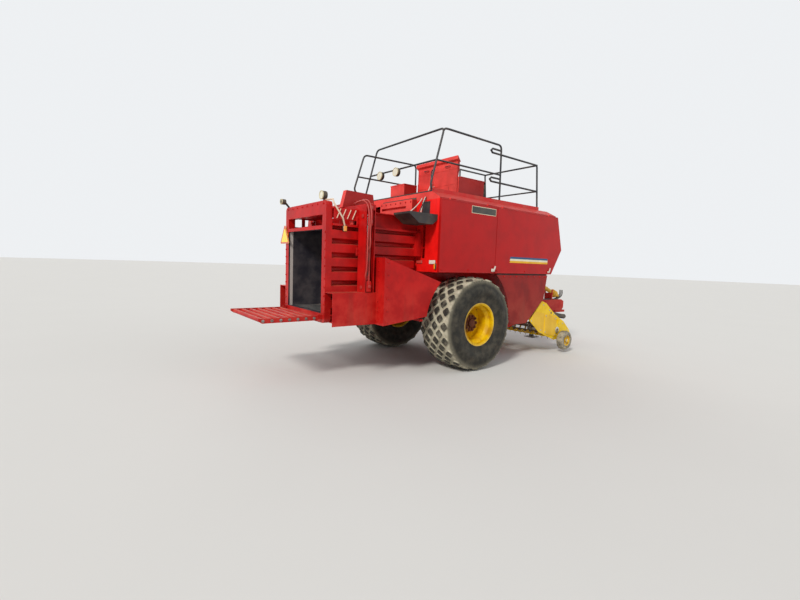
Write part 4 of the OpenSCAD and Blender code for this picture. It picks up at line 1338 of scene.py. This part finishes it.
class BALER_OT_chamber(bpy.types.Operator):
    """Adds bolts, weld plates, link arms, worn strips with a painted highlight, and strips of painted shade
    round the bale chamber
    """

    bl_idname = "baler.chamber"
    bl_label = "Chamber and density frame"

    def execute(self, context):
        head = context.scene.baler_sizes.bolt
        back = Vector((-1, 0, 0))
        up = Vector((0, 0, 1))
        # Rear face of the portal, and both faces and middle of the density posts
        portal_rear = -2.53
        post_rear = -2.012
        post_front = -1.848
        post_x = -1.945
        plate_x = (-2.05, -1.81)
        plate_y = (0.741, 0.752)
        arm_y = (0.951, 0.966)
        bolts = bmesh.new()
        plates = bmesh.new()
        pins = bmesh.new()
        worn = bmesh.new()
        dark = bmesh.new()
        for side, _ in SIDES:
            out = Vector((0, side, 0))
            rows = (
                (portal_rear, 0.69, 1.02, 1.52, 5, back),
                (portal_rear, 0.69, 1.70, 2.18, 5, back),
                (-1.80, 0.99, 0.90, 1.80, 7, back),
                (-1.74, 1.15, 0.90, 1.78, 6, out),
            )
            for x, y, z0, z1, count, axis in rows:
                bolt_row(bolts, at(x, side * y, z0), at(x, side * y, z1), count, axis, head)
            bolt_row(bolts, at(0.85, side * 1.2, 1.60), at(2.15, side * 1.2, 1.60), 8, out, head)
            for z in (1.40, 2.44):
                disc(pins, at(post_rear, side * 0.86, z), back, 0.030, 0.012, 20, 0.004)
                disc(pins, at(post_front, side * 0.86, z), -back, 0.030, 0.012, 20, 0.004)
            side_box(plates, side, plate_x, plate_y, (1.86, 1.98), 0.006)
            side_box(plates, side, plate_x, plate_y, (2.30, 2.44), 0.006)
            for z in (1.89, 1.95, 2.33, 2.41):
                bolt(bolts, at(-2.03, side * plate_y[1], z), out, head)
                bolt(bolts, at(-1.83, side * plate_y[1], z), out, head)
            # Link arm and tie rod on the outside of each density post
            side_box(plates, side, (-1.99, -1.90), arm_y, (2.30, 2.62), 0.01)
            side_box(plates, side, (-1.985, -1.905), arm_y, (1.34, 1.50), 0.01)
            for z in (2.36, 2.56, 1.42):
                disc(pins, at(post_x, side * arm_y[1], z), out, 0.026, 0.02, 20, 0.004)
            disc(pins, at(post_x, side * 0.958, 1.42), up, 0.011, 0.94, 12)
            # Strip of the post that the bales rub bare, painted pale as the highlight on its bare steel, and
            # the dark strip behind the doors' lower edge, which is painted shade in the slit there
            side_box(worn, side, (-2.500, -2.450), (0.5985, 0.6003), (0.990, 2.270))
            side_box(dark, side, (0.690, 2.250), (1.150, 1.170), (1.590, 1.660))
        bolt_row(bolts, at(portal_rear, -0.62, 2.585), at(portal_rear, 0.62, 2.585), 8, back, head)
        bolt_row(bolts, at(-1.93, -0.85, 2.61), at(-1.93, 0.85, 2.61), 8, up, head)
        # Dark strip over the slotted box behind the deck: painted shade in the gap under the deck's edge
        box(dark, at(-0.8075, -0.600, 2.850), at(-0.8045, 0.350, 2.877))
        add_piece("worn_and_highlight_strips", worn, "chassis", "worn")
        # The dark strips are painted shade
        add_piece("shade_strips", dark, "chassis", "dark")
        add_piece("chamber_bolts", bolts, "chassis", "red")
        add_piece("post_plates", plates, "chassis", "red")
        add_piece("post_pins", pins, "chassis", "pipe")
        return {"FINISHED"}


class BALER_OT_hoses(bpy.types.Operator):
    """Runs the hydraulic hoses and the cables"""

    bl_idname = "baler.hoses"
    bl_label = "Hoses and cables"

    def execute(self, context):
        r = context.scene.baler_sizes.hose
        for s, name in SIDES:
            # The upright plate stands right of the middle, so each side's pipes start at their own face
            near = -0.310 if s < 0 else -0.210
            routes = [
                [at(-1.80, near, 2.66), at(-1.90, near + s * 0.12, 2.66), at(-2.00, s * 0.62, 2.645),
                 at(-2.00, s * 0.90, 2.64), at(-1.99, s * 0.975, 2.52), at(-2.00, s * 0.985, 2.10),
                 at(-2.00, s * 0.975, 1.70), at(-1.99, s * 0.93, 1.52), at(-1.96, s * 0.90, 1.48)],
                [at(-1.80, near, 2.72), at(-1.86, near + s * 0.14, 2.70), at(-1.96, s * 0.62, 2.66),
                 at(-1.955, s * 0.90, 2.66), at(-1.96, s * 0.985, 2.55), at(-1.97, s * 1.00, 2.20),
                 at(-1.965, s * 0.99, 1.98), at(-1.95, s * 0.93, 1.93), at(-1.94, s * 0.905, 1.92)],
            ]
            for i, points in enumerate(routes):
                hose(f"density_pipe_{i}_{name}", points, r, "pipe", "red")
        axle_route = ((-1.55, -0.55, 0.88), (-1.2, -0.50, 0.80), (-0.8, -0.48, 0.82), (-0.3, -0.50, 0.78),
                      (0.3, -0.50, 0.84), (0.7, -0.50, 0.86))
        hose("axle_hose", [at(*p) for p in axle_route], r, "hose", "black_plastic")
        drawbar_route = ((2.44, -0.20, 1.28), (2.75, -0.18, 1.31), (3.2, -0.12, 1.262), (3.6, -0.07, 1.004),
                         (4.1, -0.06, 0.998), (4.55, -0.05, 1.01), (4.72, -0.04, 1.10), (4.74, -0.03, 1.22))
        for i in range(3):
            apart = 0.035 * (i - 1)
            points = [at(x, y + apart, z) for x, y, z in drawbar_route]
            hose(f"drawbar_hose_{i}", points, r, "hose", "black_plastic")
        cables = (
            ((0.068, -0.02, 3.30), (-0.02, -0.08, 3.27), (-0.30, -0.30, 3.06), (-0.62, -0.58, 2.98),
             (-0.86, -0.78, 2.80), (-1.10, -0.86, 2.62), (-1.20, -0.88, 2.56)),
            ((0.068, -0.06, 3.24), (-0.03, -0.12, 3.20), (-0.28, -0.34, 3.02), (-0.58, -0.62, 2.975),
             (-0.80, -0.82, 2.86), (-0.90, -0.86, 2.68), (-0.93, -0.87, 2.56)),
            ((0.068, 0.00, 3.56), (0.010, -0.03, 3.50), (-0.02, -0.10, 3.20), (-0.30, -0.38, 3.00),
             (-0.60, -0.66, 2.975), (-0.82, -0.86, 2.84), (-1.00, -0.92, 2.60), (-1.04, -0.94, 2.54)),
        )
        for i, (finish, points) in enumerate(zip(("pale", "pale", "hose"), cables)):
            hose(f"hood_cable_{i}", [at(*p) for p in points], 0.008, finish, "black_plastic")
        return {"FINISHED"}


class BALER_OT_deck(bpy.types.Operator):
    """Adds the deck's tread, and the seams, grips, edges and bolts of the boxes on it"""

    bl_idname = "baler.deck"
    bl_label = "Deck and hood"

    def tread(self):
        pitch = 0.06
        stud = Matrix.Diagonal((0.030, 0.008, 0.003, 1))
        bm = bmesh.new()
        for column in range(48):
            for row in range(31):
                x = column * pitch - 0.76
                y = row * pitch - 0.90
                under_hood = -0.02 < x < 0.80 and -0.74 < y < 0.48
                under_box = -0.29 < x < 0.10 and 0.41 < y < 0.94
                if under_hood or under_box:
                    continue
                turn = Matrix.Rotation(math.radians(45 if (column + row) % 2 else -45), 4, "Z")
                spot = Matrix.Translation(at(x, y, DECK_Z + 0.0012))
                bmesh.ops.create_cube(bm, size=1.0, matrix=spot @ turn @ stud)
        add_piece("deck_tread", bm, "chassis", "deck")

    def seams(self):
        bm = bmesh.new()
        box(bm, at(0.066, -0.673, 3.225), at(0.0745, 0.413, 3.235), 0.002)
        box(bm, at(0.066, -0.673, 3.490), at(0.114, 0.413, 3.500), 0.003)
        box(bm, at(0.118, -0.709, 3.335), at(0.764, 0.444, 3.352), 0.004)
        box(bm, at(-0.254, 0.446, 3.300), at(0.069, 0.904, 3.3235), 0.004)
        for y in (-0.40, 0.10):
            box(bm, at(0.063, y - 0.06, 2.99), at(0.071, y + 0.06, 3.20), 0.004)
        for y in (-0.670, 0.400):
            box(bm, at(0.062, y, 2.965), at(0.073, y + 0.010, 3.60), 0.002)
        add_piece("hood_seams", bm, "chassis", "red_top")

    def grip(self, bm, x, y, z, radius, half, leg, foot_x):
        """Bar across, on two legs that start at the sheet behind it."""
        disc(bm, at(x, y - half, z), (0, 1, 0), radius, 2 * half, 10)
        for end in (-leg, leg):
            disc(bm, at(foot_x, y + end, z), (x - foot_x, 0, 0), radius - 0.001, 0.030, 8)

    def grips(self):
        bm = bmesh.new()
        for y in (-0.42, 0.16):
            self.grip(bm, 0.045, y, 3.555, 0.007, 0.06, 0.055, 0.072)
        for y in (-0.45, 0.20):
            self.grip(bm, 0.786, y, 3.22, 0.008, 0.07, 0.062, 0.758)
        add_piece("hood_grips", bm, "chassis", "black")
        edge = bmesh.new()
        for y in (-0.709, 0.404):
            box(edge, at(0.735, y, 2.99), at(0.775, y + 0.040, 3.330), 0.004)
        box(edge, at(0.735, -0.709, 3.290), at(0.775, 0.444, 3.333), 0.004)
        add_piece("low_box_edge", edge, "chassis", "rubber")

    def execute(self, context):
        head = context.scene.baler_sizes.bolt
        self.tread()
        self.seams()
        self.grips()
        bolts = bmesh.new()
        back = (-1, 0, 0)
        bolt_row(bolts, at(0.07, -0.60, 3.02), at(0.07, 0.34, 3.02), 6, back, head)
        for z in (2.80, 2.36):
            bolt_row(bolts, at(-0.905, -0.58, z), at(-0.905, 0.26, z), 7, back, head)
        add_piece("deck_bolts", bolts, "chassis", "red")
        return {"FINISHED"}


class BALER_OT_drive(bpy.types.Operator):
    """Adds the shaft guard's ribs and collar, the bolts of flywheel and gearbox, and the jack's crank"""

    bl_idname = "baler.drive"
    bl_label = "Drive line"

    def shaft(self):
        start = at(3.010, 0, SHAFT_Z)
        end = at(4.600, 0, 1.070)
        line = (end - start).normalized()
        ribs = bmesh.new()
        for place, way in ((start + line * 0.10, 1), (end - line * 0.10, -1)):
            for i in range(5):
                ring(ribs, place + line * way * (0.012 + 0.032 * i), line,
                     [(0.084, -0.008), (0.091, -0.004), (0.091, 0.004), (0.084, 0.008)])
        for i in range(3):
            ring(ribs, start.lerp(end, 0.32 + 0.18 * i), line,
                 [(0.049, -0.010), (0.055, -0.006), (0.055, 0.006), (0.049, 0.010)], 28)
        add_piece("shaft_guard_ribs", ribs, "chassis", "guard")
        collar = bmesh.new()
        ring(collar, end + line * 0.015, line, [(0.0225, 0.02), (0.052, 0.02), (0.052, 0.05), (0.046, 0.055),
                                                (0.046, 0.070), (0.040, 0.0745), (0.0225, 0.0745)], 28)
        add_piece("shaft_collar", collar, "chassis", "tine")

    def execute(self, context):
        head = context.scene.baler_sizes.bolt
        ahead = (1, 0, 0)
        left = (0, 1, 0)
        self.shaft()
        wheel = bmesh.new()
        for across, up in spokes(8):
            bolt(wheel, at(2.909, 0, SHAFT_Z) + Vector((0, across, up)) * 0.085, ahead, 0.014, 0.012)
        for across, up in spokes(12, 0.5):
            bolt(wheel, at(2.880, 0, SHAFT_Z) + Vector((0, across, up)) * 0.345, ahead, head)
        add_piece("flywheel_bolts", wheel, "flywheel", "zinc")
        bolts = bmesh.new()
        for y in (-0.24, 0.24):
            bolt_row(bolts, at(2.395, y, 1.22), at(2.395, y, 1.48), 4, ahead, 0.014)
        for y in (-0.26, 0.26):
            bolt_row(bolts, at(2.42, y, 0.92), at(2.42, y, 1.07), 3, ahead, 0.014)
        add_piece("gearbox_bolts", bolts, "chassis", "zinc")
        jack_x = 3.90
        jack = bmesh.new()
        disc(jack, at(jack_x, 0.21, 1.099), (0, 0, 1), 0.030, 0.015, 20, 0.004)
        disc(jack, at(jack_x, 0.338, 1.080), left, 0.016, 0.018, 16, 0.003)
        disc(jack, at(jack_x, 0.335, 1.080), (0, 0, -1), 0.010, 0.13, 12)
        disc(jack, at(jack_x, 0.335, 0.960), left, 0.012, 0.11, 14, 0.003)
        for z in (0.78, 0.90):
            for x in (jack_x - 0.036, jack_x + 0.036):
                bolt(jack, at(x, 0.26, z), left, 0.012)
        add_piece("jack_crank", jack, "chassis", "steel")
        return {"FINISHED"}


class BALER_OT_pickup(bpy.types.Operator):
    """Adds the pickup's stripper bands, covers, panels, bolts, flanges and gauge wheel hubs"""

    bl_idname = "baler.pickup"
    bl_label = "Pickup"

    def bands(self):
        """Stripper bands between the tines, from the cross tube round the reel to their own bar."""
        reel = Vector((REEL_X, REEL_Z))
        hold_angle = math.radians(155)
        hold = reel + Vector((math.cos(hold_angle), -math.sin(hold_angle))) * 0.278
        half_width = 1.075
        count = 15
        pitch = 2 * half_width / count

        def arc(radius, start, end):
            angles = [math.radians(start + (end - start) * i / 24) for i in range(25)]
            return [reel + Vector((math.cos(a), math.sin(a))) * radius for a in angles]

        outline = arc(0.186, 100, -151) + [hold + Vector((0.001, -0.004)), hold + Vector((-0.001, 0.004))]
        outline += arc(0.180, -155, 100) + [Vector((2.330, 0.731)), Vector((2.330, 0.737))]
        bm = bmesh.new()
        for i in range(count):
            y = -half_width + (i + 0.5) * pitch
            prism(bm, outline, y - 0.020, y + 0.020)
        disc(bm, at(hold.x, -1.166, hold.y), (0, 1, 0), 0.015, 2.332, 16)
        add_piece("stripper_bands", bm, "pickup", "yellow")

    def execute(self, context):
        head = context.scene.baler_sizes.bolt
        # Outer faces of the side plates and of the drive covers on them
        face = 1.177
        cover_face = 1.187
        self.bands()
        covers = bmesh.new()
        cover = [(2.275, 0.430), (2.275, 0.845), (2.700, 0.755), (2.700, 0.330)]
        for side, _ in SIDES:
            prism(covers, cover, side * (face - 0.0005), side * cover_face)
        add_piece("drive_covers", covers, "pickup", "yellow")
        cover_panel = [(2.279, 0.434), (2.279, 0.840), (2.696, 0.752), (2.696, 0.336)]
        rear_panel = [(1.850, 0.673), (1.850, 0.812), (1.945, 0.903), (2.268, 0.846), (2.268, 0.440),
                      (2.080, 0.512)]
        plate_bolts = ((2.20, 1.03), (2.43, 0.91), (2.60, 0.81), (2.96, 0.60), (3.15, 0.44), (2.15, 0.51),
                       (2.62, 0.31), (3.18, 0.31), (1.81, 0.72))
        cover_bolts = ((2.30, 0.46), (2.30, 0.80), (2.66, 0.72), (2.67, 0.37))
        bearing = [(0.034, 0.0), (0.070, 0.0), (0.068, 0.012), (0.040, 0.018), (0.034, 0.018)]
        cap = [(0.0155, 0.0), (0.032, 0.0), (0.030, 0.020), (0.0155, 0.026)]
        bolts = bmesh.new()
        trim = bmesh.new()
        for side, name in SIDES:
            out = Vector((0, side, 0))
            for x, z in plate_bolts:
                bolt(bolts, at(x, side * face, z), out, head)
            panel = bmesh.new()
            side_sheet(panel, side, cover_face, cover_panel, 0.0015)
            side_sheet(panel, side, face - 0.001, rear_panel, 0.0015)
            add_piece("pickup_panel_" + name, panel, "pickup", "ochre")
            for x, z in cover_bolts:
                bolt(bolts, at(x, side * (cover_face + 0.0015), z), out, head)
            ring(bolts, at(REEL_X, side * face, REEL_Z), out, bearing, 28)
            side_box(trim, side, (2.76, 2.78), (face, 1.1955), (0.600, 0.700), 0.002)
            hub = bmesh.new()
            ring(hub, gauge_middle(side) + out * 0.0505, out, cap, 24)
            for ahead, up in spokes(5):
                bolt(hub, gauge_middle(side) + out * 0.022 + Vector((ahead, 0, up)) * 0.078, out, 0.010)
            add_piece("gauge_hub_" + name, hub, "gauge_" + name, "zinc")
        add_piece("pickup_bolts", bolts, "pickup", "zinc")
        add_piece("pickup_flanges", trim, "pickup", "yellow")
        return {"FINISHED"}


class BALER_OT_chute(bpy.types.Operator):
    """Adds the caps on the ends of the chute's rollers"""

    bl_idname = "baler.chute"
    bl_label = "Bale chute"

    def execute(self, context):
        first = -2.650
        pitch = 0.740 / 6
        cap = [(0.0004, 0.0), (0.022, 0.0), (0.020, 0.008), (0.008, 0.012), (0.0004, 0.012)]
        caps = bmesh.new()
        for side, _ in SIDES:
            for i in range(7):
                ring(caps, at(first - pitch * i, side * 0.635, 0.948), (0, side, 0), cap, 18)
        add_piece("roller_caps", caps, "chute", "tine")
        return {"FINISHED"}


class BALER_PT_panel(bpy.types.Panel):
    """Lists the sizes, the colours and the operators"""

    bl_idname = "BALER_PT_panel"
    bl_label = "Square baler"
    bl_space_type = "VIEW_3D"
    bl_region_type = "UI"
    bl_category = "Baler"

    def draw(self, context):
        scene = context.scene
        for group in (scene.baler_paint, scene.baler_sizes, scene.baler_view):
            column = self.layout.column(align=True)
            for name in group.__annotations__:
                column.prop(group, name)
        for operator in OPERATORS:
            self.layout.operator(operator.bl_idname)


GROUPS = (BalerPaint, BalerSizes, BalerView)
OPERATORS = (
    BALER_OT_stage,
    BALER_OT_paint,
    BALER_OT_tyres,
    BALER_OT_wheel_nuts,
    BALER_OT_doors,
    BALER_OT_rails,
    BALER_OT_roof,
    BALER_OT_lamps,
    BALER_OT_chamber,
    BALER_OT_hoses,
    BALER_OT_deck,
    BALER_OT_drive,
    BALER_OT_pickup,
    BALER_OT_chute,
)


def register():
    for kind in GROUPS + OPERATORS + (BALER_PT_panel,):
        bpy.utils.register_class(kind)
    bpy.types.Scene.baler_paint = bpy.props.PointerProperty(type=BalerPaint)
    bpy.types.Scene.baler_sizes = bpy.props.PointerProperty(type=BalerSizes)
    bpy.types.Scene.baler_view = bpy.props.PointerProperty(type=BalerView)


def unregister():
    del bpy.types.Scene.baler_view
    del bpy.types.Scene.baler_sizes
    del bpy.types.Scene.baler_paint
    for kind in reversed(GROUPS + OPERATORS + (BALER_PT_panel,)):
        bpy.utils.unregister_class(kind)


def main():
    register()
    for operator in OPERATORS:
        group, name = operator.bl_idname.split(".")
        getattr(getattr(bpy.ops, group), name)()


if __name__ == "__main__":
    main()
